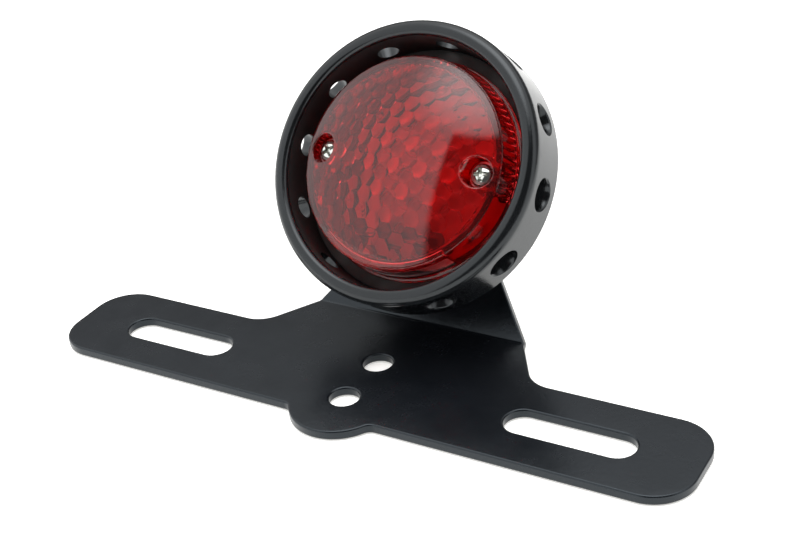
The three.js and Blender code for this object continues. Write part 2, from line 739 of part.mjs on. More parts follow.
/** An axial component on the board at a polar place about the lamp's axis. */
function placedComponent(name, length, radius, distance, degrees, look) {
  const angle = THREE.MathUtils.degToRad(degrees);
  const mesh = piece(name, axialGeometry(length, radius), look);
  const height = BOARD_TOP_Z + CLEARANCE + radius;
  mesh.position.set(distance * Math.cos(angle), distance * Math.sin(angle), height);
  mesh.rotation.set(Math.PI / 2, angle, 0, "ZXY");
  return mesh;
}

function boardComponents() {
  const resistor = { length: 6.3, radius: 1.15, distance: 22.4 };
  const diode = { length: 5.2, radius: 1.3, distance: 22, degrees: 66 };
  const resistors = [38, 142, 218, 322].map((degrees, i) => {
    const { length, radius, distance } = resistor;
    return placedComponent(`resistor_${i + 1}`, length, radius, distance, degrees, tanCeramic());
  });
  const { length, radius, distance, degrees } = diode;
  const body = placedComponent("polarity_diode", length, radius, distance, degrees, blackPlastic());
  return [...resistors, body];
}

// ---- mounting hardware -------------------------------------------------------------------------

function mountingHardware(side) {
  const name = side < 0 ? "left" : "right";
  const x = side * BOLT_X;
  const acrossFlats = 8;
  const headHeight = 3.4;
  const washerRadius = 5;
  const washerThickness = 1;
  const springRadius = 4.4;
  const springThickness = 1.2;
  const springGap = 0.8;
  const nutHeight = 4;
  const pointChamfer = 0.6;
  const bore = BOLT_RADIUS + 0.2;
  const headLow = HOUSING_FLOOR_Z + CLEARANCE;
  const washerHigh = UPRIGHT_BACK_Z - CLEARANCE;
  const springHigh = washerHigh - washerThickness - CLEARANCE;
  const nutHigh = springHigh - springThickness - CLEARANCE;
  const shankEnd = nutHigh - nutHeight - 2;

  const head = solid(plateGeometry(hexagon(acrossFlats), headLow, headLow + headHeight));
  const shank = solid(
    turnedGeometry(
      [
        [0, shankEnd],
        [BOLT_RADIUS - pointChamfer, shankEnd],
        [BOLT_RADIUS, shankEnd + pointChamfer],
        [BOLT_RADIUS, headLow + 1],
        [0, headLow + 1],
      ],
      16,
    ),
  );
  const bolt = piece(`mount_bolt_${name}`, geometryOf(head.add(shank)), zincSteel());

  const washer = washerGeometry(bore, washerRadius, washerHigh - washerThickness, washerHigh, 24);

  const springLow = springHigh - springThickness;
  const springRing = solid(washerGeometry(bore, springRadius, springLow, springHigh, 20));
  const split = new THREE.BoxGeometry(springRadius, springGap, springRadius);
  split.translate(springRadius - 1, 0, springHigh - springThickness / 2);
  const spring = geometryOf(springRing.subtract(solid(split)));

  const nutBlock = solid(plateGeometry(hexagon(acrossFlats), nutHigh - nutHeight, nutHigh));
  const nutBore = barGeometry(bore, nutHigh - nutHeight - 1, nutHigh + 1, 16);
  const nut = geometryOf(nutBlock.subtract(solid(nutBore)));

  const pieces = [
    bolt,
    piece(`mount_washer_${name}`, washer, zincSteel()),
    piece(`spring_washer_${name}`, spring, zincSteel()),
    piece(`mount_nut_${name}`, nut, zincSteel()),
  ];
  pieces.forEach((mesh) => {
    mesh.position.x = x;
  });
  return pieces;
}

function cableGrommet() {
  const flange = 1;
  const edge = 0.4;
  const bore = 2.6;
  const collar = 1.2;
  const sleeve = 4.4;
  const sleeveEnd = 4.5;
  const neck = GROMMET_HOLE_RADIUS - CLEARANCE;
  const front = UPRIGHT_FRONT_Z + CLEARANCE;
  const back = UPRIGHT_BACK_Z - CLEARANCE;
  const geometry = turnedGeometry(
    [
      [bore, front + flange],
      [GROMMET_RADIUS - edge, front + flange],
      [GROMMET_RADIUS, front + flange - edge],
      [GROMMET_RADIUS, front],
      [neck, front],
      [neck, back],
      [GROMMET_RADIUS - edge, back],
      [GROMMET_RADIUS - edge, back - collar],
      [sleeve, back - sleeveEnd],
      [bore, back - sleeveEnd],
    ],
    20,
  );
  return piece("cable_grommet", geometry, blackRubber());
}

// ---- assembly ----------------------------------------------------------------------------------

const lamp = new THREE.Group();
lamp.applyMatrix4(lampMatrix());
lamp.add(
  bezelRing(),
  lampHousing(),
  housingPad(),
  ...lensPieces(),
  lensGasket(),
  ...lensScrews(),
  circuitBoard(),
  ...boardScrews(),
  ...signalLeds(),
  ...plateLight(),
  ...boardComponents(),
  ...mountingHardware(-1),
  ...mountingHardware(1),
  cableGrommet(),
);

const tailLight = new THREE.Group();
tailLight.name = "tail_light";
tailLight.add(bracket(), lamp);

export default tailLight;
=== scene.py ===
"""Looks of the round motorcycle tail light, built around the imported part."""

import math

import bmesh
import bpy
from mathutils import Matrix, Vector, geometry

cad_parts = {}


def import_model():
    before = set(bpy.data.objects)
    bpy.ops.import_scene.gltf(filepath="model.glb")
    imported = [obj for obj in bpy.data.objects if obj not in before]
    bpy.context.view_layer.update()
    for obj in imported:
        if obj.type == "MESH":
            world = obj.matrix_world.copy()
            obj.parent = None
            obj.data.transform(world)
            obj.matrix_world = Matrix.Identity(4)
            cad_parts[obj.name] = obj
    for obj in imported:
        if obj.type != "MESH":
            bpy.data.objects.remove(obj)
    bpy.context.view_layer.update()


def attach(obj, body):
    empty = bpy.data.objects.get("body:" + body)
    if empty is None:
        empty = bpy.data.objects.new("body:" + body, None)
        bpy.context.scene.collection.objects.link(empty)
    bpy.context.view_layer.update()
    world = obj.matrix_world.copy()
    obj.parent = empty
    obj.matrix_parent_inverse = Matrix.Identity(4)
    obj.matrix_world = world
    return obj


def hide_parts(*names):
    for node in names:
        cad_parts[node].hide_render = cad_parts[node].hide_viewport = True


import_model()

MM = 0.001
TAU = 2 * math.pi
ON_AXIS = 1e-6  # a smaller radius counts as a point on the axis

# ---- main dimensions, in millimetres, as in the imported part

GAP = 0.3  # left between pieces that touch in the real lamp
SHEET = 2.7
WING_HALF_LENGTH = 97.6
WING_FRONT = -17.2
WING_BACK = 15.4
WING_CORNER = 11.6
SLOT_X = 62.1
SLOT_Y = (WING_FRONT + WING_BACK) / 2
SLOT_WIDTH = 10.2
SLOT_LENGTH = 36
HOLE_Y = 8.9
HOLE_RADIUS = 4.2
TAB_FRONT = -25
TAB_RADIUS = 13.9
TAB_FILLET = 3
NECK_CORNER_X = 43.9
NECK_FILLET = 8.9
NECK_HALF_AT_BEND = 33.8
BEND_Y = 31.9
BEND_INNER_RADIUS = 1
TILT = math.radians(51.7)
UPRIGHT_NARROWING = 0.7
LAMP_HEIGHT = 40.1
HEAD_RADIUS = 22
HEAD_FILLET = 8
CABLE_HOLE_RADIUS = 5.5
BOLT_X = 13
BOLT_HOLE_RADIUS = 2.8
LAMP_REACH = 33.9

RING_RADIUS = 40
RING_DEPTH = 17
RING_BORE = 35.4
RING_MOUTH = 37.0
RING_LIP_BORE = 29.5
RING_LIP_FRONT = -14.4
RING_HOLES = 12
RING_HOLE_RADIUS = 4.2
RING_HOLE_INNER_RADIUS = 3.1
RING_HOLE_Z = -9.2
RING_HOLE_TURN = math.radians(-2.6)

UP = Vector((0, math.cos(TILT), math.sin(TILT)))
OUT = Vector((0, -math.sin(TILT), math.cos(TILT)))
LAMP_CENTRE = Vector((0, BEND_Y, SHEET)) + UP * LAMP_HEIGHT + OUT * LAMP_REACH
LAMP = Matrix((*zip((1, 0, 0), UP, OUT, LAMP_CENTRE), (0, 0, 0, 1)))


# ---- mesh helpers

def linked(name, data):
    """A new object in the scene that shows a mesh or holds a camera."""
    piece = bpy.data.objects.new(name, data)
    bpy.context.scene.collection.objects.link(piece)
    return piece


def mesh_object(name, shape, where, sharp=30.0, material=None):
    """A piece from a shape in millimetres, smooth except across edges sharper than sharp degrees."""
    mesh = bpy.data.meshes.new(name)
    mesh.from_pydata([(where @ Vector(p)) * MM for p in shape.points], [], shape.faces)
    piece = linked(name, mesh)
    finish_mesh(mesh, sharp)
    if material:
        mesh.materials.append(material)
    return piece


def shared_mesh(name, shape, materials, groups):
    """Mesh data in its own frame, each face with the material that its group counts to."""
    mesh = bpy.data.meshes.new(name)
    mesh.from_pydata([Vector(p) * MM for p in shape.points], [], shape.faces)
    for material in materials:
        mesh.materials.append(material)
    for polygon, group in zip(mesh.polygons, groups):
        polygon.material_index = group
    finish_mesh(mesh, 34)
    return mesh


def finish_mesh(mesh, sharp):
    """Welds a mesh, turns its faces outwards and shades it smooth between its sharp edges."""
    work = bmesh.new()
    work.from_mesh(mesh)
    bmesh.ops.remove_doubles(work, verts=work.verts, dist=2e-6)
    bmesh.ops.recalc_face_normals(work, faces=work.faces)
    work.to_mesh(mesh)
    work.free()
    mesh.shade_smooth()
    mesh.set_sharp_from_angle(angle=math.radians(sharp))
    mesh.update()


def keep_flat(piece):
    """Flat faces keep their own normal, and the shading turns on the narrow rounded edges."""
    modifier = piece.modifiers.new("normals", "WEIGHTED_NORMAL")
    modifier.keep_sharp = True
    modifier.weight = 100


def between(p, q, share):
    """The point a share of the way from p to q."""
    return tuple(a + (b - a) * share for a, b in zip(p, q))


def pairs(loop):
    """Each point of a closed loop with the next one."""
    return zip(loop, loop[1:] + loop[:1])


def arc_points(centre, radius, start, end, steps):
    """Points from one angle to another, in radians, both ends included."""
    return [
        (centre[0] + radius * math.cos(start + (end - start) * i / steps),
         centre[1] + radius * math.sin(start + (end - start) * i / steps))
        for i in range(steps + 1)
    ]


def arc_between(centre, radius, first, last, steps):
    """Points along the shorter arc from one point to another."""
    start = math.atan2(first.y - centre.y, first.x - centre.x)
    end = math.atan2(last.y - centre.y, last.x - centre.x)
    turn = (end - start + math.pi) % TAU - math.pi
    return arc_points(centre, radius, start, start + turn, steps)


def round_over(radius, steps):
    """(inset, depth) pairs down a rounded edge, from its flat top to its side."""
    angles = [math.pi / 2 * i / steps for i in range(steps + 1)]
    return [(radius * (1 - math.sin(a)), radius * (1 - math.cos(a))) for a in angles]


def rounded_path(corners, closed, steps=5):
    """Points of a path of (x, y, radius) corners, each rounded by its radius."""
    count = len(corners)
    points = []
    for i, (x, y, radius) in enumerate(corners):
        if radius <= 0 or (not closed and i in (0, count - 1)):
            points.append((x, y))
            continue
        here = Vector((x, y))
        before = (Vector(corners[i - 1][:2]) - here).normalized()
        after = (Vector(corners[(i + 1) % count][:2]) - here).normalized()
        half = before.angle(after) / 2
        middle = here + (before + after).normalized() * (radius / math.sin(half))
        first = here + before * (radius / math.tan(half))
        last = here + after * (radius / math.tan(half))
        points += arc_between(middle, radius, first, last, steps)
    return points


def circle_loop(x, y, radius, steps, way=1):
    """Points round a circle, anticlockwise, or clockwise if way is -1."""
    return arc_points((x, y), radius, 0, way * TAU, steps)[:-1]


def polar(radius, angle, z, x=0.0, y=0.0):
    """A point by its distance and direction from an upright axis, and its height."""
    return (x + radius * math.cos(angle), y + radius * math.sin(angle), z)


def ring_row(radius, z, count, x=0.0, y=0.0, turn=0.0):
    """Points round a circle at one height."""
    return [polar(radius, turn + TAU * i / count, z, x, y) for i in range(count)]


class Shape:
    """Collects points and faces."""

    def __init__(self):
        self.points = []
        self.faces = []

    def add(self, points, faces):
        base = len(self.points)
        self.points += [tuple(p) for p in points]
        self.faces += [[base + i for i in face] for face in faces]

    def join(self, other, x=0.0, y=0.0):
        self.add([(px + x, py + y, pz) for px, py, pz in other.points], other.faces)

    def grid(self, rows, closed=False, caps=False):
        """Quads between neighbouring rounds of points, with a face over both ends for caps."""
        base = len(self.points)
        width = len(rows[0])
        for row in rows:
            self.points += [tuple(p) for p in row]
        for r in range(len(rows) if closed else len(rows) - 1):
            s = (r + 1) % len(rows)
            for c in range(width):
                d = (c + 1) % width
                self.faces.append([base + r * width + c, base + r * width + d,
                                   base + s * width + d, base + s * width + c])
        if caps:
            last = len(self.points)
            self.faces += [list(range(base, base + width)), list(range(last - width, last))]


def lathe(profile, segments, closed=False, turn=0.0):
    """A turned shape from a profile of (radius, height), with single points on the axis."""
    shape = Shape()
    rings = []
    for radius, height in profile:
        base = len(shape.points)
        if radius < ON_AXIS:
            rings.append([base] * segments)
            shape.points.append((0, 0, height))
        else:
            rings.append([base + i for i in range(segments)])
            shape.points += ring_row(radius, height, segments, turn=turn)
    for low, high in pairs(rings) if closed else zip(rings, rings[1:]):
        for i in range(segments):
            j = (i + 1) % segments
            corners = list(dict.fromkeys((low[i], low[j], high[j], high[i])))
            if len(corners) > 2:
                shape.faces.append(corners)
    return shape


def inside(point, loop):
    """Whether a point is inside a closed loop, by counting crossings."""
    x, y = point[0], point[1]
    hit = False
    for (ax, ay), (bx, by) in pairs(loop):
        if (ay > y) != (by > y) and x < (bx - ax) * (y - ay) / (by - ay) + ax:
            hit = not hit
    return hit


def fill(outer, holes, inner_points, convex=False):
    """Points and triangles of a flat region. The loops' points come first, in their own order."""
    points = list(outer)
    edges = [(i, (i + 1) % len(outer)) for i in range(len(outer))]
    for hole in holes:
        base = len(points)
        points += hole
        edges += [(base + i, base + (i + 1) % len(hole)) for i in range(len(hole))]
    points += inner_points
    made, _, triangles, _, _, _ = geometry.delaunay_2d_cdt(
        [Vector(p) for p in points], edges, [], 0, 1e-6)
    kept = []
    for t in triangles:
        middle = sum((made[i] for i in t), Vector((0, 0))) / 3
        if convex or (inside(middle, outer) and not any(inside(middle, hole) for hole in holes)):
            kept.append(list(t))
    return [tuple(p) for p in made], kept


def boolean(target, tools, operation):
    """Joins, cuts or intersects a closed piece with other closed pieces, which are then removed."""
    for tool in tools:
        modifier = target.modifiers.new("solid", "BOOLEAN")
        modifier.operation = operation
        modifier.solver = "MANIFOLD"
        modifier.object = tool
        bpy.context.view_layer.update()
        result = bpy.data.meshes.new_from_object(
            target.evaluated_get(bpy.context.evaluated_depsgraph_get()))
        target.modifiers.clear()
        old = target.data
        target.data = result
        bpy.data.meshes.remove(old)
        bpy.data.meshes.remove(tool.data)


def bar(radius, low, high, x=0.0, y=0.0, segments=32):
    """A solid cylinder along the lamp's axis, to join or cut with."""
    shape = Shape()
    shape.join(lathe([(0, low), (radius, low), (radius, high), (0, high)], segments), x, y)
    return mesh_object("tool", shape, LAMP)


def turned(name, corners, segments, material, steps=4, x=0.0):
    """A turned piece in the lamp's frame from (radius, height, rounding) corners."""
    path = rounded_path(corners, True, steps)
    on_axis = any(radius < ON_AXIS for radius, _ in path)
    shape = Shape()
    shape.join(lathe(path, segments, not on_axis), x)
    return mesh_object(name, shape, LAMP, 34, material)


def finish_solid(piece, name, sharp, material):
    """Names a piece made by booleans, cleans it and gives it its material."""
    piece.name = name
    piece.data.name = name
    finish_mesh(piece.data, sharp)
    piece.data.materials.clear()
    piece.data.materials.append(material)
    return piece


# ---- bracket

def offset_loop(loop, distance):
    """A closed loop moved to its left by a distance, point by point."""
    moved = []
    count = len(loop)
    for i in range(count):
        here = Vector(loop[i])
        before = (here - Vector(loop[i - 1])).normalized()
        after = (Vector(loop[(i + 1) % count]) - here).normalized()
        normal_a = Vector((-before.y, before.x))
        normal_b = Vector((-after.y, after.x))
        normal = (normal_a + normal_b).normalized()
        moved.append(tuple(here + normal * (distance / max(normal.dot(normal_a), 0.3))))
    return moved


BEND_TANGENT = BEND_INNER_RADIUS * math.tan(TILT / 2)
BEND_START = BEND_Y - BEND_TANGENT
BEND_LENGTH = BEND_INNER_RADIUS * TILT
BEND_END = BEND_START + BEND_LENGTH


def flat_of_height(height):
    """Where a height on the upright, measured from the bend line, lies on the flat blank."""
    return BEND_END + height - BEND_TANGENT


def bracket_outline():
    """The blank's outline, anticlockwise, with x across and y from the tab to the head."""
    right = []
    # tab nose, from its tip to the fillet where it meets the wing's front edge
    nose_y = TAB_FRONT + TAB_RADIUS
    drop = WING_FRONT - TAB_FILLET - nose_y
    reach = math.sqrt((TAB_RADIUS + TAB_FILLET) ** 2 - drop ** 2)
    touch = math.atan2(drop, reach)
    right += arc_points((0, nose_y), TAB_RADIUS, -math.pi / 2, touch, 24)
    right += arc_points((reach, WING_FRONT - TAB_FILLET), TAB_FILLET,
                        touch + math.pi, math.pi / 2, 8)
    right += arc_points((WING_HALF_LENGTH - WING_CORNER, WING_FRONT + WING_CORNER),
                        WING_CORNER, -math.pi / 2, 0, 20)
    right += arc_points((WING_HALF_LENGTH - WING_CORNER, WING_BACK - WING_CORNER),
                        WING_CORNER, 0, math.pi / 2, 20)
    slope = (NECK_CORNER_X - NECK_HALF_AT_BEND) / (BEND_Y - WING_BACK)
    corner = (NECK_CORNER_X, WING_BACK, NECK_FILLET)
    far = (WING_HALF_LENGTH - WING_CORNER, WING_BACK, 0)
    start = (NECK_HALF_AT_BEND + slope * BEND_TANGENT, BEND_START, 0)
    right += rounded_path([far, corner, start], False, 12)[1:]
    # upright: slanting side, fillet, round head
    side = Vector((-UPRIGHT_NARROWING, 1)).normalized()
    outward = Vector((side.y, -side.x))
    foot = Vector((NECK_HALF_AT_BEND, -LAMP_HEIGHT))
    line = foot.dot(outward) + HEAD_FILLET
    span = HEAD_RADIUS + HEAD_FILLET
    fillet = outward * line - side * math.sqrt(span * span - line * line)
    on_side = fillet - outward * HEAD_FILLET
    on_head = fillet * (HEAD_RADIUS / span)
    head_start = math.atan2(on_head.y, on_head.x)
    upright = [(NECK_HALF_AT_BEND - UPRIGHT_NARROWING * BEND_TANGENT, BEND_TANGENT - LAMP_HEIGHT)]
    upright += arc_between(fillet, HEAD_FILLET, on_side, on_head, 10)
    upright += arc_points((0, 0), HEAD_RADIUS, head_start, math.pi / 2, 28)[1:]
    right += [(x, flat_of_height(y + LAMP_HEIGHT)) for x, y in upright]
    loop = []
    for p in right + [(-x, y) for x, y in reversed(right[:-1])][:-1]:
        if not loop or (Vector(p) - Vector(loop[-1])).length > 1e-4:
            loop.append(p)
    return loop


def slot_loop(x, y, length, width):
    """A straight slot with round ends, clockwise."""
    half = (length - width) / 2
    loop = arc_points((x + half, y), width / 2, math.pi / 2, -math.pi / 2, 20)
    return loop + arc_points((x - half, y), width / 2, -math.pi / 2, -3 * math.pi / 2, 20)


def bracket_piece(material):
    edge = 0.55
    lamp_line = flat_of_height(LAMP_HEIGHT)
    loops = [bracket_outline()]
    loops += [slot_loop(x, SLOT_Y, SLOT_LENGTH, SLOT_WIDTH) for x in (-SLOT_X, SLOT_X)]
    loops += [circle_loop(0, y, HOLE_RADIUS, 48, -1) for y in (-HOLE_Y, HOLE_Y)]
    loops += [circle_loop(0, lamp_line, CABLE_HOLE_RADIUS, 40, -1)]
    loops += [circle_loop(x, lamp_line, BOLT_HOLE_RADIUS, 32, -1) for x in (-BOLT_X, BOLT_X)]
    # each loop's section: a rounded edge at the top, the cut side, a rounded edge at the bottom
    section = round_over(edge, 4)
    section += [(inset, SHEET - depth) for inset, depth in reversed(section)]
    shape = Shape()
    for loop in loops:
        shape.grid([[(x, y, -depth) for x, y in offset_loop(loop, inset)]
                    for inset, depth in section])
    outer, *holes = [offset_loop(loop, edge) for loop in loops]
    # a coarse lattice of points inside the outline, clear of every loop
    margin = 2.0
    spacing = 7.0
    start = 1.5
    lattice = [(i * spacing, j * spacing + start) for i in range(-14, 15) for j in range(-4, 16)]
    lattice = [p for p in lattice
               if inside(p, outer) and not any(inside(p, hole) for hole in holes)
               and all(math.dist(p, q) > margin for loop in [outer] + holes for q in loop)]
    made, triangles = fill(outer, holes, lattice)
    for z in (0, -SHEET):
        shape.add([(x, y, z) for x, y in made], triangles)

    mesh = bpy.data.meshes.new("bracket_plate")
    mesh.from_pydata(shape.points, [], shape.faces)
    work = bmesh.new()
    work.from_mesh(mesh)
    bmesh.ops.remove_doubles(work, verts=work.verts, dist=1e-4)
    bmesh.ops.recalc_face_normals(work, faces=work.faces)
    slices = 8
    for i in range(slices + 1):
        everything = work.verts[:] + work.edges[:] + work.faces[:]
        place = BEND_START + BEND_LENGTH * i / slices
        bmesh.ops.bisect_plane(work, geom=everything, dist=1e-5,
                               plane_co=(0, place, 0), plane_no=(0, 1, 0))
    for vertex in work.verts:
        x, s, z = vertex.co
        if s <= BEND_START:
            y, z = s, SHEET + z
        elif s <= BEND_END:
            angle = (s - BEND_START) / BEND_INNER_RADIUS
            reach = BEND_INNER_RADIUS - z
            y = BEND_START + reach * math.sin(angle)
            z = SHEET + BEND_INNER_RADIUS - reach * math.cos(angle)
        else:
            height = s - BEND_END + BEND_TANGENT
            _, y, z = Vector((0, BEND_Y, SHEET)) + UP * height + OUT * z
        vertex.co = Vector((x, y, z)) * MM
    work.to_mesh(mesh)
    work.free()
    piece = linked("bracket_plate", mesh)
    finish_mesh(mesh, 40)
    keep_flat(piece)
    mesh.materials.append(material)
    return piece


# ---- bezel ring

def ring_piece(material, bore_painted_light_material):
    per_side = 12
    around = RING_HOLES * per_side
    sector = TAU / RING_HOLES
    shape = Shape()

    def patch(wall, z_low, z_high, hole_radius):
        """One twelfth of a wall round a hole: rows from the hole to the patch's four sides."""
        half = sector / 2
        corners = [(half, z_low), (half, z_high), (-half, z_high), (-half, z_low)]
        edges = [between(p, q, step / per_side) for p, q in pairs(corners)
                 for step in range(per_side)]
        angles = [math.atan2(z - RING_HOLE_Z, a * wall) for a, z in edges]
        # where the hole, measured round its own axis, meets the wall
        rim = [(math.asin(hole_radius * math.cos(t) / wall), hole_radius * math.sin(t) + RING_HOLE_Z)
               for t in angles]
        shares = (0.0, 0.035, 0.09, 0.18, 0.32, 0.52, 0.76, 1.0)
        return [[between(p, q, share) for p, q in zip(rim, edges)] for share in shares], angles

    front_round = 2.6
    mouth_round = RING_MOUTH - RING_BORE
    back_chamfer = 0.6
    back = -RING_DEPTH
    outer_low, outer_high = back + back_chamfer, -front_round
    inner_low, inner_high = RING_LIP_FRONT + 0.4, -mouth_round
    wide = RING_HOLE_RADIUS + 0.45
    bore_start = 0.5
    outer_rows, angles = patch(RING_RADIUS, outer_low, outer_high, wide)
    inner_rows, inner_angles = patch(RING_BORE, inner_low, inner_high, RING_HOLE_INNER_RADIUS)
    for k in range(RING_HOLES):
        middle = RING_HOLE_TURN + k * sector

        def at(wall, a, z):
            return polar(wall, middle + a, z)

        shape.grid([[at(RING_RADIUS, a, z) for a, z in row] for row in outer_rows])
        shape.grid([[at(RING_BORE, a, z) for a, z in row] for row in reversed(inner_rows)])
        # the hole itself: chamfer, then a bore that narrows down to the inner wall
        surface = [math.sqrt(RING_RADIUS ** 2 - (wide * math.cos(t)) ** 2) for t in angles]
        chamfer = ((wide, 0.0), (RING_HOLE_RADIUS + 0.08, 0.34), (RING_HOLE_RADIUS, bore_start))
        rows = [[polar(radius, t, top - depth) for t, top in zip(angles, surface)]
                for radius, depth in chamfer]
        for f in (0.25, 0.5, 0.75, 1.0):
            row = []
            for t, s, top in zip(angles, inner_angles, surface):
                w, v = between((math.cos(t), math.sin(t)), (math.cos(s), math.sin(s)), f)
                radius = RING_HOLE_RADIUS + (RING_HOLE_INNER_RADIUS - RING_HOLE_RADIUS) * f
                scale = radius / math.hypot(w, v)
                w, v = w * scale, v * scale
                start = top - bore_start
                row.append((w, v, start + (math.sqrt(RING_BORE ** 2 - w * w) - start) * f))
            rows.append(row)
        c, s = math.cos(middle), math.sin(middle)
        shape.grid([[(out * c - w * s, out * s + w * c, RING_HOLE_Z + v) for w, v, out in row]
                    for row in rows])
    # turned surfaces in front of, behind and inside the two drilled walls
    turn = RING_HOLE_TURN - sector / 2
    front = arc_points((RING_RADIUS - front_round, -front_round), front_round, 0, math.pi / 2, 8)
    front += [(RING_MOUTH + more, 0) for more in (0.3, 0.2, 0.1)]
    front += arc_points((RING_MOUTH, -mouth_round), mouth_round, math.pi / 2, math.pi, 9)
    shape.join(lathe(front, around, turn=turn))
    lip = rounded_path([
        (RING_BORE, inner_low, 0), (RING_BORE, RING_LIP_FRONT, 0.35),
        (RING_LIP_BORE, RING_LIP_FRONT, 0.35), (RING_LIP_BORE, back, 0.35),
        (RING_RADIUS - back_chamfer, back, 0.25), (RING_RADIUS, outer_low, 0)], False, 3)
    shape.join(lathe(lip, around, turn=turn))
    ring = mesh_object("bezel_ring_body", shape, LAMP, 34, material)
    # the bore and the lip inside it get a duller copy of the coat in a lighter grey: painted light,
    # standing in for the even grey of the bore in place of the lens's red reflection
    ring.data.materials.append(bore_painted_light_material)
    to_lamp = LAMP.inverted()
    for polygon in ring.data.polygons:
        centre = to_lamp @ (polygon.center / MM)
        within = math.hypot(centre.x, centre.y) < RING_BORE + 0.05
        if within and RING_LIP_FRONT - 0.1 < centre.z < inner_high:
            polygon.material_index = 1
    return ring


# ---- lens

EDGE_RADIUS = 29.9
EDGE_Z = -1.9
DOME_HEIGHT = 6.5
DOME_SPHERE = (EDGE_RADIUS ** 2 + DOME_HEIGHT ** 2) / (2 * DOME_HEIGHT)
DOME_CENTRE_Z = EDGE_Z + DOME_HEIGHT - DOME_SPHERE
LENS_BASE_RADIUS = 30.8
LENS_FLANGE_RADIUS = 31.6
LENS_FLANGE = 1.35
LENS_BASE_Z = -12.95
LENS_WALL = 2.2
WELL_X = 23.9
WELLS = (-WELL_X, WELL_X)
WELL_RADIUS = 4.1
WELL_WALL = 1.1
WELL_FLOOR_Z = -4.9
WELL_FLOOR = 1.6
LENS_BOSS_RADIUS = 3.4
LENS_SCREW_HOLE_RADIUS = 1.9
WINDOW_HALF_ANGLE = math.radians(40)
WINDOW_TOP = -4
WINDOW_BOTTOM = -11


def dome(x, y, depth=0.0):
    sphere = DOME_SPHERE - depth
    return DOME_CENTRE_Z + math.sqrt(sphere * sphere - x * x - y * y)


def disc_points(radius, spacing, clear_of):
    """Points on rings inside a radius that keep away from circles (x, y, r)."""
    points = [(0.0, 0.0)]
    rings = int(radius / spacing)
    for k in range(1, rings + 1):
        r = radius * k / (rings + 1)
        count = max(6, round(TAU * r / spacing))
        for i in range(count):
            angle = TAU * (i + 0.5 * (k % 2)) / count
            points.append((r * math.cos(angle), r * math.sin(angle)))
    return [p for p in points
            if all(math.hypot(p[0] - x, p[1] - y) > r + 0.5 * spacing for x, y, r in clear_of)]


def lens_outer_solid():
    """The lens filled solid: dome with two screw wells, rounded edge, side, flange and base."""
    around = 240
    around_well = 64
    mouth = 0.5
    floor_round = 0.5
    edge = 0.55
    shape = Shape()
    rim = EDGE_RADIUS - edge
    wells = [circle_loop(x, 0, WELL_RADIUS + mouth, around_well) for x in WELLS]
    inner = disc_points(rim, 1.1, [(x, 0, WELL_RADIUS + mouth) for x in WELLS])
    made, triangles = fill(circle_loop(0, 0, rim, around), wells, inner)
    shape.add([(x, y, dome(x, y)) for x, y in made], triangles)
    for x in WELLS:
        rows = []
        for inset, depth in round_over(mouth, 5):
            rows.append([(px, py, dome(px, py) - depth)
                         for px, py in circle_loop(x, 0, WELL_RADIUS + inset, around_well)])
        for rise, inset in round_over(floor_round, 4):
            rows.append(ring_row(WELL_RADIUS - inset, WELL_FLOOR_Z + rise, around_well, x))
        rows.append([(x, 0, WELL_FLOOR_Z)] * around_well)
        shape.grid(rows)
    side_top = EDGE_Z - edge - 0.1
    profile = [(rim, dome(rim, 0))]
    profile += arc_points((rim - 0.02, side_top), edge + 0.07, 1.2, 0.0, 6)
    flange_top = LENS_BASE_Z + LENS_FLANGE
    profile += rounded_path([
        (EDGE_RADIUS + 0.1, side_top - 0.4, 0),
        (LENS_BASE_RADIUS, flange_top, 0.3),
        (LENS_FLANGE_RADIUS, flange_top, 0.3),
        (LENS_FLANGE_RADIUS, LENS_BASE_Z, 0.2),
        (0, LENS_BASE_Z, 0)], False, 3)
    shape.join(lathe(profile, around))
    return mesh_object("lens_solid", shape, LAMP)


PILLOW_PITCH = 4.32
PILLOW_HEIGHT = 0.5
PILLOW_SIDE = PILLOW_PITCH / math.sqrt(3)
PILLOW_ORIGIN_X = -PILLOW_SIDE
FLUTES = 90
FLUTE_HEIGHT = 0.38


def pillow_distance(x, y):
    """Distance from a point to the nearest cell centre of the hexagonal field."""
    column = PILLOW_PITCH * math.sqrt(3) / 2
    nearest = PILLOW_PITCH
    i0 = round((x - PILLOW_ORIGIN_X) / column)
    for i in (i0 - 1, i0, i0 + 1):
        shift = 0.5 * (i % 2)
        j = round(y / PILLOW_PITCH - shift)
        d = math.hypot(x - PILLOW_ORIGIN_X - i * column, y - (j + shift) * PILLOW_PITCH)
        nearest = min(nearest, d)
    return nearest


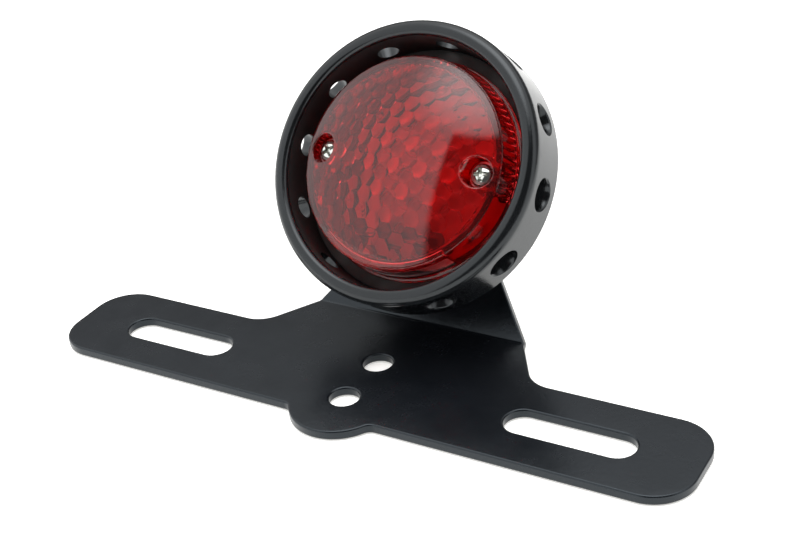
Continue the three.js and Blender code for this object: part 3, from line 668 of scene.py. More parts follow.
def lens_cavity():
    """The hollow inside the lens: a ceiling of hexagonal pillows and a side with flutes."""
    per_flute = 6
    around = FLUTES * per_flute
    ceiling = 27.0
    lowest_flute = -math.sin(math.radians(9))
    step = PILLOW_SIDE / 6
    shape = Shape()
    # a triangular lattice that divides each hexagon's sides evenly, turned to follow its sides
    lattice = []
    row = step * math.sqrt(3) / 2
    reach = int(ceiling / row) + 2
    for j in range(-reach, reach + 1):
        for i in range(-reach, reach + 1):
            x = PILLOW_ORIGIN_X + (i + 0.5 * (j % 2)) * step
            y = j * row
            if math.hypot(x, y) < ceiling - 0.4 * step:
                lattice.append((x, y))
    made, triangles = fill(circle_loop(0, 0, ceiling, around), [], lattice, convex=True)
    points = []
    for x, y in made:
        pillow = 0.0
        if math.hypot(x, y) < ceiling - 0.2 * step:
            pillow = PILLOW_HEIGHT * (1 - (pillow_distance(x, y) / PILLOW_SIDE) ** 2)
        points.append((x, y, dome(x, y, LENS_WALL) - pillow))
    shape.add(points, triangles)
    base = LENS_BASE_Z - 1
    # radius, height and how much of the flutes' depth there is
    stations = [(ceiling, dome(ceiling, 0, LENS_WALL), 0), (27.4, -3.3, 0), (27.6, -3.6, 0),
                (27.7, -3.9, 1), (28.0, -7.5, 1), (28.28, -10.2, 1),
                (28.48, -12.4, 1), (28.52, -12.6, 0), (28.6, -12.95, 0), (28.6, base, 0)]
    rows = []
    for radius, z, flute in stations:
        row = []
        for i in range(around):
            phase = 2 * ((i % per_flute) / per_flute) - 1
            angle = TAU * i / around
            above = math.sin(angle) > lowest_flute
            rib = FLUTE_HEIGHT * (1 - phase * phase) * flute * above
            row.append(polar(radius - rib, angle, z))
        rows.append(row)
    rows.append([(0, 0, base)] * around)
    shape.grid(rows)
    return mesh_object("lens_cavity", shape, LAMP)


def window_block(half_angle, low, high, inner, outer, corner):
    """A block between two radii, facing down, with its corners rounded as seen from outside."""
    middle = -math.pi / 2
    scale = 31.0
    spacing = 0.8
    margin = 1.2
    half = half_angle * scale
    outline = rounded_path([(-half, low, corner), (half, low, corner), (half, high, corner),
                            (-half, high, corner)], True, 5)
    dense = []
    for p, q in pairs(outline):
        count = max(1, round(math.dist(p, q) / spacing))
        dense += [between(p, q, i / count) for i in range(count)]
    grid = [(i * spacing, z) for i in range(-40, 41)
            for z in (low + margin, (low + high) / 2, high - margin)
            if abs(i * spacing) < half - margin]
    made, triangles = fill(dense, [], grid)
    shape = Shape()

    def at(x, z, radius):
        angle = middle + x / scale
        return polar(radius(z), angle, z)

    for radius in (inner, outer):
        shape.add([at(x, z, radius) for x, z in made], triangles)
    shape.grid([[at(x, z, inner) for x, z in dense], [at(x, z, outer) for x, z in dense]])
    return mesh_object("window_block", shape, LAMP)


def lens_piece(material):
    lens = lens_outer_solid()
    cavity = lens_cavity()
    well_low = WELL_FLOOR_Z - WELL_FLOOR
    above = 8
    keep = [bar(WELL_RADIUS + WELL_WALL, well_low, above, x, 0, 48) for x in WELLS]
    keep += [bar(LENS_BOSS_RADIUS, LENS_BASE_Z, WELL_FLOOR_Z, x, 0, 40) for x in WELLS]
    boolean(cavity, keep, "DIFFERENCE")
    tools = [cavity]
    tools += [bar(LENS_SCREW_HOLE_RADIUS, LENS_BASE_Z - 2.5, WELL_FLOOR_Z + 1, x) for x in WELLS]
    cut_from, cut_to = 24.0, 35.0
    tools.append(window_block(WINDOW_HALF_ANGLE, WINDOW_BOTTOM, WINDOW_TOP,
                              lambda z: cut_from, lambda z: cut_to, 0.8))
    boolean(lens, tools, "DIFFERENCE")
    return finish_solid(lens, "lens_moulding", 24, material)


def window_piece(material):
    def outer(z):
        share = (z - EDGE_Z) / (LENS_BASE_Z + LENS_FLANGE - EDGE_Z)
        return EDGE_RADIUS + 0.08 + (LENS_BASE_RADIUS - EDGE_RADIUS) * share

    window = window_block(WINDOW_HALF_ANGLE - GAP / LENS_BASE_RADIUS, WINDOW_BOTTOM + GAP,
                          WINDOW_TOP - GAP, lambda z: outer(z) - LENS_WALL, outer, 0.6)
    return finish_solid(window, "plate_window_insert", 40, material)


# ---- screws, bolts and washers

def moved(x=0.0, y=0.0, z=0.0, turn=0.0, lean=0.0):
    """A place in the lamp's frame: turned about its own axis, then leant about x, then moved."""
    return (LAMP @ Matrix.Translation((x, y, z)) @ Matrix.Rotation(lean, 4, "X")
            @ Matrix.Rotation(turn, 4, "Z"))


def threaded_bar(shape, radius, depth, pitch, low, high, point=0.8, columns=24):
    """Adds a threaded shank between two heights, with a plain point at its low end."""
    step = pitch / 8
    count = round((high - low) / step)
    rows = []
    for k in range(count + 1):
        z = low + (high - low) * k / count
        fade = min(1.0, (high - z) / pitch)
        taper = min(1.0, 0.55 + 0.45 * (z - low) / point)
        row = []
        for i in range(columns):
            angle = TAU * i / columns
            phase = (z / pitch - i / columns) % 1.0
            groove = depth * min(1.0, max(0.0, 2.4 * abs(2 * phase - 1) - 0.5)) * fade
            r = min(radius - groove, radius * taper)
            row.append(polar(r, angle, z))
        rows.append(row)
    rows.insert(0, [(0, 0, low)] * columns)
    rows.append([(0, 0, high)] * columns)
    shape.grid(rows)


def cross_recess(z, reach, width, depth):
    """A tapered cross with four blades, open upwards."""
    rows = []
    for share, height in ((1.14, 0.5), (1.0, 0.0), (0.42, -depth)):
        m = reach * share
        w = width * (0.5 + 0.5 * share)
        corner = [(m, -w), (m, w), (w, w)]
        row = []
        for quarter in range(4):
            c, s = ((1, 0), (0, 1), (-1, 0), (0, -1))[quarter]
            row += [(x * c - y * s, x * s + y * c, z + height) for x, y in corner]
        rows.append(row)
    shape = Shape()
    width = len(rows[0])
    shape.grid([[(0, 0, z + 0.5)] * width] + rows + [[(0, 0, z - depth * 1.12)] * width])
    return shape


def cross_screw(name, where, material, head_radius, head_height, shank_radius, length, pitch):
    """A pan-head screw with a cross recess and a cut thread."""
    head = rounded_path([
        (0, -0.4, 0), (shank_radius * 0.98, -0.4, 0), (shank_radius, 0, 0),
        (head_radius - 0.05, 0, 0.05), (head_radius, head_height * 0.62, head_height * 0.5),
        (head_radius * 0.5, head_height * 0.97, head_height), (0, head_height, 0)], False, 7)
    body = mesh_object(name, lathe(head, 56), where)
    reach = head_radius * 0.66
    depth = head_height * 0.72
    cross = cross_recess(head_height, reach, head_radius * 0.18, depth)
    low, high = head_height - depth, head_height + 0.3
    cone = lathe([(0, low), (head_radius * 0.10, low), (head_radius * 0.34, high), (0, high)], 24)
    boolean(body, [mesh_object("cross", cross, where), mesh_object("cone", cone, where)],
            "DIFFERENCE")
    shank = Shape()
    threaded_bar(shank, shank_radius, shank_radius * 0.2, pitch, -length, -0.2)
    boolean(body, [mesh_object("shank", shank, where)], "UNION")
    finish_solid(body, name, 32, material)
    soften = body.modifiers.new("edges", "BEVEL")
    soften.width = 0.045 * MM
    soften.segments = 2
    soften.limit_method = "ANGLE"
    soften.angle_limit = math.radians(50)
    soften.harden_normals = True
    return body


def hexagon_radius(angle, across_flats):
    """How far a hexagon's side is from its centre in one direction."""
    return across_flats / 2 / math.cos((angle + math.pi / 6) % (math.pi / 3) - math.pi / 6)


def hexagon_solid(name, across_flats, low, high, bore, where, chamfer_low=True):
    """A hexagon with its corners turned off at 30 degrees, and a bore if it has one."""
    columns = 96
    edge = 0.35
    rim = across_flats / 2 * 0.985
    slope = math.tan(math.radians(30))

    def corner(z, sign, on):
        row = []
        for i in range(columns):
            angle = TAU * i / columns
            r = hexagon_radius(angle, across_flats)
            drop = max(0.0, r - rim) * slope if on else 0.0
            row.append(polar(r, angle, z - sign * drop))
        return row

    def ring(radius, z):
        return ring_row(radius, z, columns)

    rows = [ring(bore + edge, low), ring(rim, low), corner(low, -1, chamfer_low),
            corner(high, 1, True), ring(rim, high), ring(bore + edge, high)]
    shape = Shape()
    if bore > 0:
        shape.grid([ring(bore, low + edge)] + rows + [ring(bore, high - edge)], closed=True)
    else:
        shape.grid([[(0, 0, low)] * columns] + rows + [[(0, 0, high)] * columns])
    return mesh_object(name, shape, where)


def spring_washer(name, inner, outer, low, high, where, material):
    """A coil of square wire, pressed nearly flat, with its two cut ends side by side."""
    gap = math.radians(13)
    steps = 72
    rise = 0.18
    edge = 0.14
    slant = 0.35
    section = rounded_path([(inner, 0, edge), (outer, 0, edge), (outer, high - low - rise, edge),
                            (inner, high - low - rise, edge)], True, 3)
    rows = []
    for k in range(steps + 1):
        share = k / steps
        row = []
        for r, z in section:
            angle = gap / 2 + (TAU - gap) * share + slant * (z / (high - low)) * gap
            row.append(polar(r, angle, low + z + rise * share))
        rows.append(row)
    shape = Shape()
    shape.grid(rows, caps=True)
    return mesh_object(name, shape, where, 34, material)


UPRIGHT_FRONT = -LAMP_REACH
UPRIGHT_BACK = UPRIGHT_FRONT - SHEET
PAD_THICKNESS = 1.4
HOUSING_BACK = UPRIGHT_FRONT + PAD_THICKNESS + 2 * GAP
HOUSING_FLOOR = HOUSING_BACK + 2.3
HOUSING_RADIUS = 36.4
BOARD_TOP = -20.4
BOARD_THICKNESS = 1.6
BOARD_RADIUS = 26
BOARD_SCREW_Y = 22.2
BOARD_POST_RADIUS = 2.8
ACROSS_FLATS = 8
BOLT_RADIUS = 2.5
BOLT_PITCH = 0.8
BOLT_THREAD = 0.42
BOLT_HEAD_HEIGHT = 3.4
BOLT_PAST_NUT = 2
WASHER_BORE = 2.7
WASHER_RADIUS = 5
WASHER_THICKNESS = 1
SPRING_RADIUS = 4.4
SPRING_THICKNESS = 1.2
NUT_HEIGHT = 4
NUT_BORE = 2.72


def mounting_bolt(side, material):
    """Hexagon bolt, washer, spring washer and nut on one side of the lamp's axis."""
    label = "left" if side < 0 else "right"
    split = math.radians(9 if side < 0 else 40)
    x = side * BOLT_X
    axis = moved(x)
    head_low = HOUSING_FLOOR + GAP
    washer_high = UPRIGHT_BACK - GAP
    washer_low = washer_high - WASHER_THICKNESS
    spring_high = washer_low - GAP
    spring_low = spring_high - SPRING_THICKNESS
    nut_high = spring_low - GAP
    nut_low = nut_high - NUT_HEIGHT
    bolt = hexagon_solid("bolt", ACROSS_FLATS, head_low, head_low + BOLT_HEAD_HEIGHT, 0, axis, False)
    shank = Shape()
    tip = nut_low - BOLT_PAST_NUT
    threaded_bar(shank, BOLT_RADIUS, BOLT_THREAD, BOLT_PITCH, tip, head_low + 0.5, point=1.0,
                 columns=32)
    boolean(bolt, [mesh_object("shank", shank, axis)], "UNION")
    finish_solid(bolt, "hex_bolt_" + label, 32, material)
    washer = turned("plain_washer_" + label, [
        (WASHER_BORE, washer_low, 0.1), (WASHER_RADIUS, washer_low, 0.18),
        (WASHER_RADIUS, washer_high, 0.12), (WASHER_BORE, washer_high, 0.1)], 72, material, x=x)
    spring = spring_washer("lock_washer_" + label, WASHER_BORE, SPRING_RADIUS, spring_low,
                           spring_high, moved(x, turn=split), material)
    nut = hexagon_solid("hex_nut_" + label, ACROSS_FLATS, nut_low, nut_high, NUT_BORE, axis)
    finish_solid(nut, "hex_nut_" + label, 25, material)
    for piece, node in ((bolt, "mount_bolt_"), (washer, "mount_washer_"),
                        (spring, "spring_washer_"), (nut, "mount_nut_")):
        place(piece, "zinc_steel", node + label)


# ---- housing and rubber

def housing_piece(material):
    rim_z = -RING_DEPTH - GAP
    spigot = RING_LIP_BORE - GAP
    spigot_top = -15
    spigot_bore = 27
    post_top = LENS_BASE_Z - GAP
    board_post = BOARD_TOP - BOARD_THICKNESS - GAP
    profile = rounded_path([
        (0, HOUSING_BACK, 0), (29, HOUSING_BACK, 2.2), (33, rim_z - 3.2, 0.8),
        (HOUSING_RADIUS, rim_z - 2.2, 0.5), (HOUSING_RADIUS, rim_z, 0.35), (spigot, rim_z, 0.3),
        (spigot, spigot_top, 0.3), (spigot_bore, spigot_top, 0.3), (spigot_bore, rim_z - 1, 0.5),
        (30.2, rim_z - 3.7, 1.2), (26.8, HOUSING_FLOOR, 1.4), (0, HOUSING_FLOOR, 0)], False, 6)
    body = mesh_object("housing", lathe(profile, 144), LAMP)
    lens_screw_bore, board_screw_bore, cable_bore = 1.8, 1.45, 4
    base = HOUSING_FLOOR - 1
    below, above = HOUSING_BACK - 1, HOUSING_FLOOR + 1
    posts = []
    bores = []
    for side in (-1, 1):
        screw_x = side * WELL_X
        screw_y = side * BOARD_SCREW_Y
        posts.append(bar(LENS_BOSS_RADIUS, base, post_top, screw_x, 0, 40))
        posts.append(bar(BOARD_POST_RADIUS, base, board_post, 0, screw_y, 40))
        bores.append(bar(lens_screw_bore, -22, post_top + 1, screw_x))
        bores.append(bar(board_screw_bore, -28, board_post + 1, 0, screw_y, 24))
        bores.append(bar(BOLT_HOLE_RADIUS, below, above, side * BOLT_X, 0, 40))
    bores.append(bar(cable_bore, below, above, segments=48))
    boolean(body, posts, "UNION")
    boolean(body, bores, "DIFFERENCE")
    return finish_solid(body, "housing_moulding", 32, material)


def pad_piece(material):
    bore = 9
    radius = 21.5
    low = UPRIGHT_FRONT + GAP
    high = low + PAD_THICKNESS
    pad = turned("rubber_pad", [(bore, low, 0.2), (radius, low, 0.35), (radius, high, 0.35),
                                (bore, high, 0.2)], 120, material)
    holes = [bar(BOLT_HOLE_RADIUS, low - 1, low + 3, x, 0, 40) for x in (-BOLT_X, BOLT_X)]
    boolean(pad, holes, "DIFFERENCE")
    return finish_solid(pad, "rubber_pad", 34, material)


def grommet_piece(material):
    bore = 2.6
    neck = 5.2
    front = UPRIGHT_FRONT + GAP
    back = UPRIGHT_BACK - GAP
    corners = [(bore, front + 1, 0.35), (7.4, front + 1, 0.3), (8, front + 0.55, 0.2),
               (8, front, 0.15), (neck, front, 0.15), (neck, back, 0.15), (7.6, back, 0.2),
               (7.6, back - 1.2, 0.45), (5.6, back - 1.5, 0.5), (5.25, back - 2.1, 0.12),
               (5.05, back - 2.3, 0.12), (5.1, back - 2.7, 0.12), (4.7, back - 3.0, 0.12),
               (4.75, back - 3.4, 0.12), (4.4, back - 3.8, 0.2), (4.3, back - 4.5, 0.35),
               (bore, back - 4.5, 0.3)]
    return turned("grommet", corners, 96, material, 3)


def gasket_piece(material):
    bore = 29.7
    radius = 34.9
    edge = 0.25
    top = LENS_BASE_Z - GAP
    low = top - 1 + GAP / 2
    return turned("gasket_ring", [(bore, low, edge), (radius, low, edge), (radius, top, edge),
                                  (bore, top, edge)], 180, material, 3)


# ---- circuit board

LED_PITCH = 7.6
LED_RADIUS = 2.5
LED_FLAT = 2.56
LEG_X = 1.27
PLATE_LED_X = 7
PLATE_LED_Z = -8.6
HOLDER_Y = -19.3


def led_centres():
    centres = []
    for row in range(-2, 3):
        count = 5 - abs(row)
        for i in range(count):
            centres.append(((i - (count - 1) / 2) * LED_PITCH, row * LED_PITCH * math.sqrt(3) / 2))
    return centres


def led_mesh(name, material, metal):
    """A 5 mm LED: epoxy body with a flat on its flange, and its two legs."""
    flange_top = 1
    crown_low = 4.5
    leg = 0.25
    profile = rounded_path([(0, 0, 0), (2.9, 0, 0.15), (2.9, flange_top, 0.15),
                            (LED_RADIUS, flange_top, 0.1), (LED_RADIUS, crown_low, 0)], False, 3)
    profile += arc_points((0, crown_low), LED_RADIUS, 0, math.pi / 2, 12)[1:]
    body = lathe(profile, 40)
    shape = Shape()
    shape.add([(min(x, LED_FLAT) if z < flange_top + 0.05 else x, y, z) for x, y, z in body.points],
              body.faces)
    groups = [0] * len(shape.faces)
    for x in (-LEG_X, LEG_X):
        shape.grid([[(x - leg, -leg, z), (x + leg, -leg, z), (x + leg, leg, z), (x - leg, leg, z)]
                    for z in (-2.6, 0.02)], caps=True)
    groups += [1] * (len(shape.faces) - len(groups))
    return shared_mesh(name, shape, [material, metal], groups)


def placed_copy(name, mesh, where):
    """A piece that shows shared mesh data at a place given in millimetres."""
    piece = linked(name, mesh)
    metres = where.copy()
    metres.translation *= MM
    piece.matrix_world = metres
    return piece


def board_piece(material, metal):
    post_hole, screw_hole = 4, 1.5
    low = BOARD_TOP - BOARD_THICKNESS
    disc = turned("board", [(0, low, 0), (BOARD_RADIUS, low, 0.1), (BOARD_RADIUS, BOARD_TOP, 0.1),
                            (0, BOARD_TOP, 0)], 120, material)
    tools = []
    for side in (-1, 1):
        tools.append(bar(post_hole, low - 1, BOARD_TOP + 1, side * WELL_X, 0, 48))
        tools.append(bar(screw_hole, low - 1, BOARD_TOP + 1, 0, side * BOARD_SCREW_Y))
    boolean(disc, tools, "DIFFERENCE")
    finish_solid(disc, "led_board", 32, material)
    pads = Shape()
    top = 0.9
    joint = lathe([(0, top)] + rounded_path([
        (0.36, top, 0), (0.42, 0.55, 0.2), (0.95, 0.02, 0), (0.95, 0, 0), (0, 0, 0)], False, 4), 14)
    joint.points = [(x, y, low - z) for x, y, z in joint.points]
    for cx, cy in led_centres():
        for x in (-LEG_X, LEG_X):
            pads.join(joint, cx + x, cy)
    solder = mesh_object("board_solder", pads, LAMP, 50, metal)
    return disc, solder


def axial_part(name, degrees, distance, length, radius, look, band_looks, bands, metal):
    """A component that lies on the board, with (place, width) painted bands and bent leads."""
    half = length / 2
    bulge = radius * 0.12
    waist = radius - bulge
    paint = 0.015
    profile = rounded_path([
        (0, -half, 0), (radius, -half, radius * 0.45), (radius, -half * 0.62, 0.2),
        (waist, -half * 0.5, 0.2), (waist, half * 0.5, 0.2), (radius, half * 0.62, 0.2),
        (radius, half, radius * 0.45), (0, half, 0)], False, 4)
    shape = lathe(profile, 32)
    groups = [0] * len(shape.faces)
    for i, (at, width) in enumerate(bands):
        r = (radius if abs(at) > half * 0.56 else waist) + paint
        low, high = at - width / 2, at + width / 2
        shape.join(lathe([(r - 0.1, low), (r, low), (r, high), (r - 0.1, high)], 32, True))
        groups += [1 + i % len(band_looks)] * (len(shape.faces) - len(groups))
    lead = 0.28
    bend = 0.7
    for side in (-1, 1):
        path = [(half - 0.2, 0.0), (half + bend, 0.0)]
        path += [(half + bend + bend * math.sin(a), -bend * (1 - math.cos(a)))
                 for a in (0.4, 0.8, 1.2, math.pi / 2)]
        path.append((half + 2 * bend, -radius - 0.5))
        rows = []
        for i, (along, up) in enumerate(path):
            before = path[max(i - 1, 0)]
            after = path[min(i + 1, len(path) - 1)]
            way = Vector((after[0] - before[0], after[1] - before[1])).normalized()
            rows.append([(c, up + way.x * s, side * (along - way.y * s))
                         for c, s, _ in ring_row(lead, 0, 8)])
        shape.grid(rows, caps=True)
    groups += [1 + len(band_looks)] * (len(shape.faces) - len(groups))
    mesh = shared_mesh(name, shape, [look] + band_looks + [metal], groups)
    angle = math.radians(degrees)
    # its own z lies along the board, square to the radius, and its own y points away from the board
    across = Vector((-math.sin(angle), math.cos(angle), 0))
    up = Vector((0, 0, 1))
    centre = polar(distance, angle, BOARD_TOP + GAP + radius)
    on_board = Matrix((*zip(up.cross(across), up, across, centre), (0, 0, 0, 1)))
    return placed_copy(name, mesh, LAMP @ on_board)


def led_holder(material):
    """A plate that holds the two plate LEDs, with a hole for the light of each."""
    low = BOARD_TOP + GAP
    high = -5.5
    half = 11
    thick = 1.6
    edge = 0.25
    loop = rounded_path([(-half, low, 0.6), (half, low, 0.6), (half, high, 1.5), (-half, high, 1.5)],
                        True, 5)
    rows = []
    for inset, depth in ((edge, 0), (edge * 0.3, edge * 0.3), (0, edge), (0, thick - edge),
                         (edge * 0.3, thick - edge * 0.3), (edge, thick)):
        rows.append([(x, HOLDER_Y + depth, z) for x, z in offset_loop(loop, inset)])
    shape = Shape()
    shape.grid(rows, caps=True)
    body = mesh_object("holder", shape, LAMP)
    radius, depth = 0.9, 4
    hole = lathe([(0, 0), (radius, 0), (radius, depth), (0, depth)], 24)
    tools = [mesh_object("hole", hole, moved(x, HOLDER_Y + thick + 1, PLATE_LED_Z, 0, math.pi / 2))
             for x in (-PLATE_LED_X, PLATE_LED_X)]
    boolean(body, tools, "DIFFERENCE")
    return finish_solid(body, "holder_plate", 32, material)


# ---- materials

class Nodes:
    """A node tree and short ways to add to it."""

    def __init__(self, tree):
        self.tree = tree

    def feed(self, socket, value):
        """Gives an input a value, or links it to another node's output."""
        if isinstance(value, bpy.types.NodeSocket):
            self.tree.links.new(value, socket)
        else:
            socket.default_value = value

    def set(self, node, **inputs):
        for key, value in inputs.items():
            self.feed(node.inputs[key.replace("_", " ")], value)

    def add(self, kind, settings=None, **inputs):
        node = self.tree.nodes.new(kind)
        for key, value in (settings or {}).items():
            setattr(node, key, value)
        self.set(node, **inputs)
        return node


class Look(Nodes):
    """A material round one Principled shader."""

    def __init__(self, name):
        self.material = bpy.data.materials.new(name)
        self.material.use_nodes = True
        super().__init__(self.material.node_tree)
        self.shader = self.tree.nodes["Principled BSDF"]
        self.coordinates = self.add("ShaderNodeTexCoord").outputs["Object"]

    def noise(self, scale, detail, rough):
        """Cloudy noise, mostly between 0.3 and 0.7."""
        return self.add("ShaderNodeTexNoise", Scale=scale, Detail=detail, Roughness=rough,
                        Vector=self.coordinates).outputs["Fac"]

    def spread(self, source, low, high):
        """Noise brought to a range."""
        return self.add("ShaderNodeMapRange", From_Min=0.3, From_Max=0.7, To_Min=low, To_Max=high,
                        Value=source).outputs["Result"]

    def blend(self, factor, one, two):
        """A mix of two colours."""
        return self.add("ShaderNodeMix", {"data_type": "RGBA"}, Factor=factor, A=(*one, 1),
                        B=(*two, 1)).outputs["Result"]

    def bump(self, height, strength, distance, **normal):
        return self.add("ShaderNodeBump", Strength=strength, Distance=distance, Height=height,
                        **normal).outputs["Normal"]


def coated_metal(name, colour, low, high, grain, peel, sheen, level):
    """Satin black coat on metal: orange peel, uneven gloss, a few rubbed spots."""
    m = Look(name)
    lighter = tuple(c * 1.4 + 0.0006 for c in colour)
    coarse = m.bump(m.noise(grain * 0.3, 2, 0.5), peel, 0.00010)
    m.set(m.shader, Base_Color=m.blend(m.spread(m.noise(55, 3, 0.55), 0, 1), colour, lighter),
          Roughness=m.spread(m.noise(140, 4, 0.6), low, high),
          Normal=m.bump(m.noise(grain, 2, 0.5), 0.30, 0.00003, Normal=coarse),
          Specular_Tint=(*sheen, 1), Specular_IOR_Level=level)
    return m.material


powder = coated_metal("powder_black", (0.0035, 0.0042, 0.0056), 0.21, 0.29, 2600, 0.25,
                      (0.80, 0.915, 1.0), 0.39)
ring_coat = coated_metal("ring_black", (0.0035, 0.0040, 0.0045), 0.15, 0.22, 3200, 0.15,
                         (0.90, 0.96, 1.0), 0.42)
# the same black coat for the bore, duller and about three times lighter: the extra grey is painted
# light
bore_coat_painted_light = coated_metal("ring_bore_painted_light", (0.011, 0.0115, 0.0115), 0.46, 0.56, 3200, 0.15,
                         (0.90, 0.96, 1.0), 0.36)


def clear_plastic(name, colour, shadow, ior=1.49, clarity=1.0):
    """Glossy see-through plastic, faintly wavy, that lets lamps and sky light what is behind it."""
    m = Look(name)
    m.set(m.shader, Base_Color=(*colour, 1), Roughness=0.02, IOR=ior, Transmission_Weight=clarity,
          Normal=m.bump(m.noise(90, 2, 0.5), 0.12, 0.00012))
    clear = m.add("ShaderNodeBsdfTransparent", Color=(*shadow, 1))
    mix = m.add("ShaderNodeMixShader", Fac=m.add("ShaderNodeLightPath").outputs["Is Shadow Ray"])
    m.feed(mix.inputs[1], m.shader.outputs["BSDF"])
    m.feed(mix.inputs[2], clear.outputs["BSDF"])
    m.set(m.tree.nodes["Material Output"], Surface=mix.outputs["Shader"])
    return m.material


def plain_surface(name, colour, other, low, high, scale, bump_scale=0.0, bump_depth=0.0, **settings):
    """Two close colours in soft patches, uneven gloss and a fine grain."""
    m = Look(name)
    patches = m.spread(m.noise(scale, 3, 0.55), 0, 1)
    m.set(m.shader, Base_Color=m.blend(patches, colour, other),
          Roughness=m.spread(m.noise(scale * 3.1, 4, 0.6), low, high), **settings)
    if bump_scale:
        m.set(m.shader, Normal=m.bump(m.noise(bump_scale, 3, 0.6), 0.5, bump_depth))
    return m.material


red_acrylic = clear_plastic("red_acrylic", (0.70, 0.022, 0.024), (0.50, 0.045, 0.045), clarity=0.97)
clear_acrylic = clear_plastic("clear_acrylic", (0.97, 0.97, 0.97), (0.95, 0.95, 0.95))
black_plastic = plain_surface("black_plastic", (0.012, 0.012, 0.013), (0.017, 0.017, 0.018),
                              0.42, 0.58, 60, 2400, 0.00003)
black_rubber = plain_surface("black_rubber", (0.013, 0.013, 0.013), (0.02, 0.02, 0.0195),
                             0.68, 0.85, 80, 1800, 0.00003)
nickel = plain_surface("bright_nickel", (0.66, 0.67, 0.63), (0.56, 0.57, 0.54), 0.04, 0.12, 300,
                       2500, 0.00001, Metallic=1.0)
zinc = plain_surface("zinc_plate", (0.66, 0.67, 0.68), (0.55, 0.56, 0.56), 0.24, 0.42, 260,
                     2600, 0.00001, Metallic=1.0)
tin = plain_surface("tin", (0.75, 0.75, 0.74), (0.62, 0.62, 0.61), 0.25, 0.4, 300, Metallic=1.0)
board_mask = plain_surface("board_mask", (0.88, 0.88, 0.86), (0.84, 0.84, 0.82), 0.3, 0.42, 120,
                           1500, 0.00001)
red_epoxy = plain_surface("red_epoxy", (0.72, 0.035, 0.03), (0.62, 0.02, 0.02), 0.08, 0.16, 200,
                          Coat_Weight=0.6)
clear_epoxy = clear_plastic("clear_epoxy", (0.95, 0.96, 0.96), (0.9, 0.9, 0.9), 1.52)
tan_lacquer = plain_surface("tan_lacquer", (0.62, 0.43, 0.24), (0.54, 0.37, 0.20), 0.25, 0.4, 300)
pale_paint = plain_surface("pale_paint", (0.72, 0.72, 0.70), (0.65, 0.65, 0.63), 0.35, 0.45, 300)
band_paints = [
    plain_surface("band_brown", (0.20, 0.07, 0.03), (0.16, 0.055, 0.025), 0.3, 0.4, 300),
    plain_surface("band_black", (0.02, 0.02, 0.02), (0.03, 0.03, 0.03), 0.3, 0.4, 300),
    plain_surface("band_red", (0.55, 0.04, 0.03), (0.48, 0.03, 0.025), 0.3, 0.4, 300),
    plain_surface("band_gold", (0.62, 0.45, 0.15), (0.55, 0.40, 0.13), 0.25, 0.35, 300, Metallic=0.8),
]


# ---- pieces

def place(piece, slot, *nodes):
    """Gives a piece its body and the nodes it replaces. The slot is not used."""
    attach(piece, "root")
    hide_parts(*nodes)


place(bracket_piece(powder), "powder_coat", "bracket")
place(ring_piece(ring_coat, bore_coat_painted_light), "ring_black", "bezel_ring")
place(lens_piece(red_acrylic), "red_lens", "lens")
place(window_piece(clear_acrylic), "clear_window", "plate_window")
place(housing_piece(black_plastic), "housing_plastic", "lamp_housing")
place(pad_piece(black_rubber), "rubber", "housing_pad")
place(grommet_piece(black_rubber), "rubber", "cable_grommet")
place(gasket_piece(black_rubber), "rubber", "lens_gasket")
for side, label, turn in ((-1, "left", 38), (1, "right", 12)):
    where = moved(side * WELL_X, 0, WELL_FLOOR_Z + GAP, math.radians(turn))
    place(cross_screw("cross_screw_" + label, where, nickel, head_radius=3.2, head_height=2.3,
                      shank_radius=1.5, length=16, pitch=0.55),
          "screw_chrome", "lens_screw_" + label)
    mounting_bolt(side, zinc)
for side, label in ((-1, "bottom"), (1, "top")):
    where = moved(0, side * BOARD_SCREW_Y, BOARD_TOP + GAP, math.radians(20 + 30 * side))
    place(cross_screw("small_screw_" + label, where, zinc, head_radius=2.2, head_height=1.5,
                      shank_radius=1.15, length=7, pitch=0.5),
          "zinc_steel", "board_screw_" + label)
board, solder = board_piece(board_mask, tin)
place(board, "board_white", "circuit_board")
place(solder, "board_white")
red_led = led_mesh("red_led_body", red_epoxy, tin)
for i, (x, y) in enumerate(led_centres()):
    place(placed_copy(f"signal_led_{i:02d}", red_led, moved(x, y, BOARD_TOP + GAP)),
          "red_led", f"led_{i:02d}")
clear_led = led_mesh("clear_led_body", clear_epoxy, tin)
for side, label in ((-1, "left"), (1, "right")):
    where = moved(side * PLATE_LED_X, HOLDER_Y - GAP, PLATE_LED_Z, 0, math.pi / 2)
    place(placed_copy("white_led_" + label, clear_led, where), "clear_led", "plate_led_" + label)
place(led_holder(black_plastic), "board_plastic", "plate_led_holder")
for i, degrees in enumerate((38, 142, 218, 322)):
    place(axial_part(f"resistor_body_{i + 1}", degrees, distance=22.4, length=6.3, radius=1.15,
                     look=tan_lacquer, band_looks=band_paints,
                     bands=[(-1.9, 0.55), (-0.75, 0.5), (0.25, 0.5), (1.95, 0.5)], metal=tin),
          "resistor_tan", f"resistor_{i + 1}")
place(axial_part("diode_body", 66, distance=22, length=5.2, radius=1.3, look=black_plastic,
                 band_looks=[pale_paint], bands=[(1.3, 0.8)], metal=tin),
      "board_plastic", "polarity_diode")


# ---- camera, light and floor

def camera():
    """The photo's own viewpoint."""
    data = bpy.data.cameras.new("camera")
    data.sensor_width = 36
    data.lens = 63.48
    data.clip_start = 0.01
    data.clip_end = 20
    item = linked("camera", data)
    right = (0.8628775, 0.4962359, -0.0958768)
    up = (-0.1724674, 0.4674155, 0.8670512)
    back = (0.4750762, -0.7316233, 0.4889069)
    eye = (0.18675, -0.26209, 0.21653)
    item.matrix_world = Matrix((*zip(right, up, back, eye), (0, 0, 0, 1)))
    bpy.context.scene.camera = item


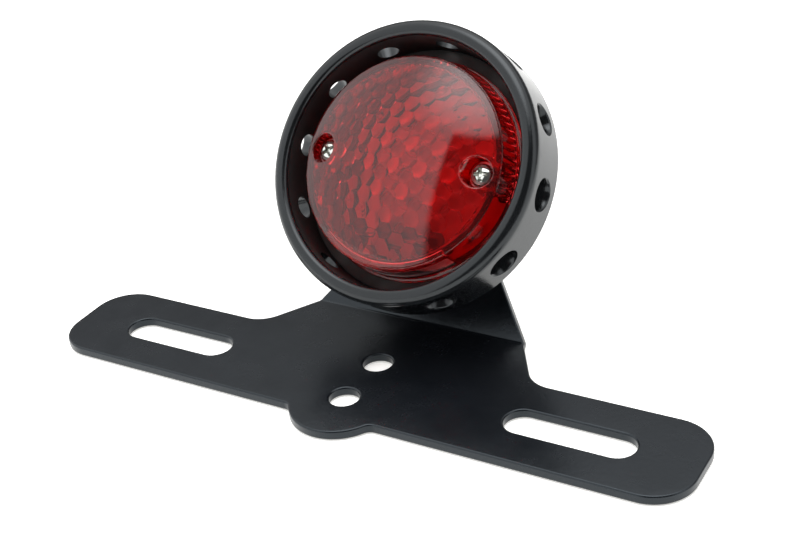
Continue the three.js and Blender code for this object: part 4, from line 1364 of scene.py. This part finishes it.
def floor():
    """White paper, just under the bracket."""
    size = 6.0
    drop = 0.0003
    mesh = bpy.data.meshes.new("floor")
    mesh.from_pydata([(-size, -size, 0), (size, -size, 0), (size, size, 0), (-size, size, 0)],
                     [], [(0, 1, 2, 3)])
    item = linked("floor", mesh)
    item.location.z = -drop
    m = Look("floor_paper")
    m.set(m.shader, Base_Color=(0.9, 0.9, 0.9, 1), Roughness=0.9, Emission_Color=(1, 0.99, 0.94, 1),
          Emission_Strength=0.5)
    mesh.materials.append(m.material)


def world():
    """A white light tent that is open, and so dark, on the side that the lens faces."""
    item = bpy.data.worlds.new("tent")
    bpy.context.scene.world = item
    item.use_nodes = True
    item.node_tree.nodes.clear()
    tree = Nodes(item.node_tree)

    def math_node(kind, *values):
        node = tree.add("ShaderNodeMath", {"operation": kind})
        for socket, value in zip(node.inputs, values):
            tree.feed(socket, value)
        return node.outputs[0]

    def ramp(value, low, high):
        return tree.add("ShaderNodeMapRange", {"interpolation_type": "SMOOTHSTEP"}, From_Min=low,
                        From_Max=high, Value=value).outputs["Result"]

    direction = tree.add("ShaderNodeTexCoord").outputs["Generated"]
    x, y, z = tree.add("ShaderNodeSeparateXYZ", Vector=direction).outputs
    azimuth = math_node("ARCTAN2", x, math_node("MULTIPLY", y, -1.0))
    elevation = math_node("ARCSINE", z)
    soft = math.radians(2.5)
    left_edge, right_edge, top_edge = (math.radians(a) for a in (-5.5, 72, 62))
    left = ramp(azimuth, left_edge - soft, left_edge + soft)
    right = ramp(azimuth, right_edge + soft, right_edge - soft)
    high = ramp(elevation, top_edge + soft, top_edge - soft)
    opening = math_node("MULTIPLY", math_node("MULTIPLY", left, right), high)
    back = ramp(y, 0.05, 0.55)
    low_back = math_node("MULTIPLY", ramp(elevation, math.radians(46), math.radians(30)), back)
    overhead = ramp(elevation, math.radians(56), math.radians(82))
    wall, extra_overhead, less_low_back, darkening = 1.7, 3.6, 1.35, 0.95
    tent = math_node("SUBTRACT",
                     math_node("ADD", wall, math_node("MULTIPLY", overhead, extra_overhead)),
                     math_node("MULTIPLY", low_back, less_low_back))
    shade = math_node("SUBTRACT", 1.0, math_node("MULTIPLY", opening, darkening))
    light = math_node("MULTIPLY", tent, shade)
    seen = tree.add("ShaderNodeLightPath").outputs["Is Camera Ray"]
    strength = tree.add("ShaderNodeMix", Factor=seen, A=light, B=1.0).outputs["Result"]
    background = tree.add("ShaderNodeBackground", Color=(1, 1, 1, 1), Strength=strength)
    tree.add("ShaderNodeOutputWorld", Surface=background.outputs[0])


camera()
floor()
world()
bpy.context.scene.view_settings.view_transform = "Standard"
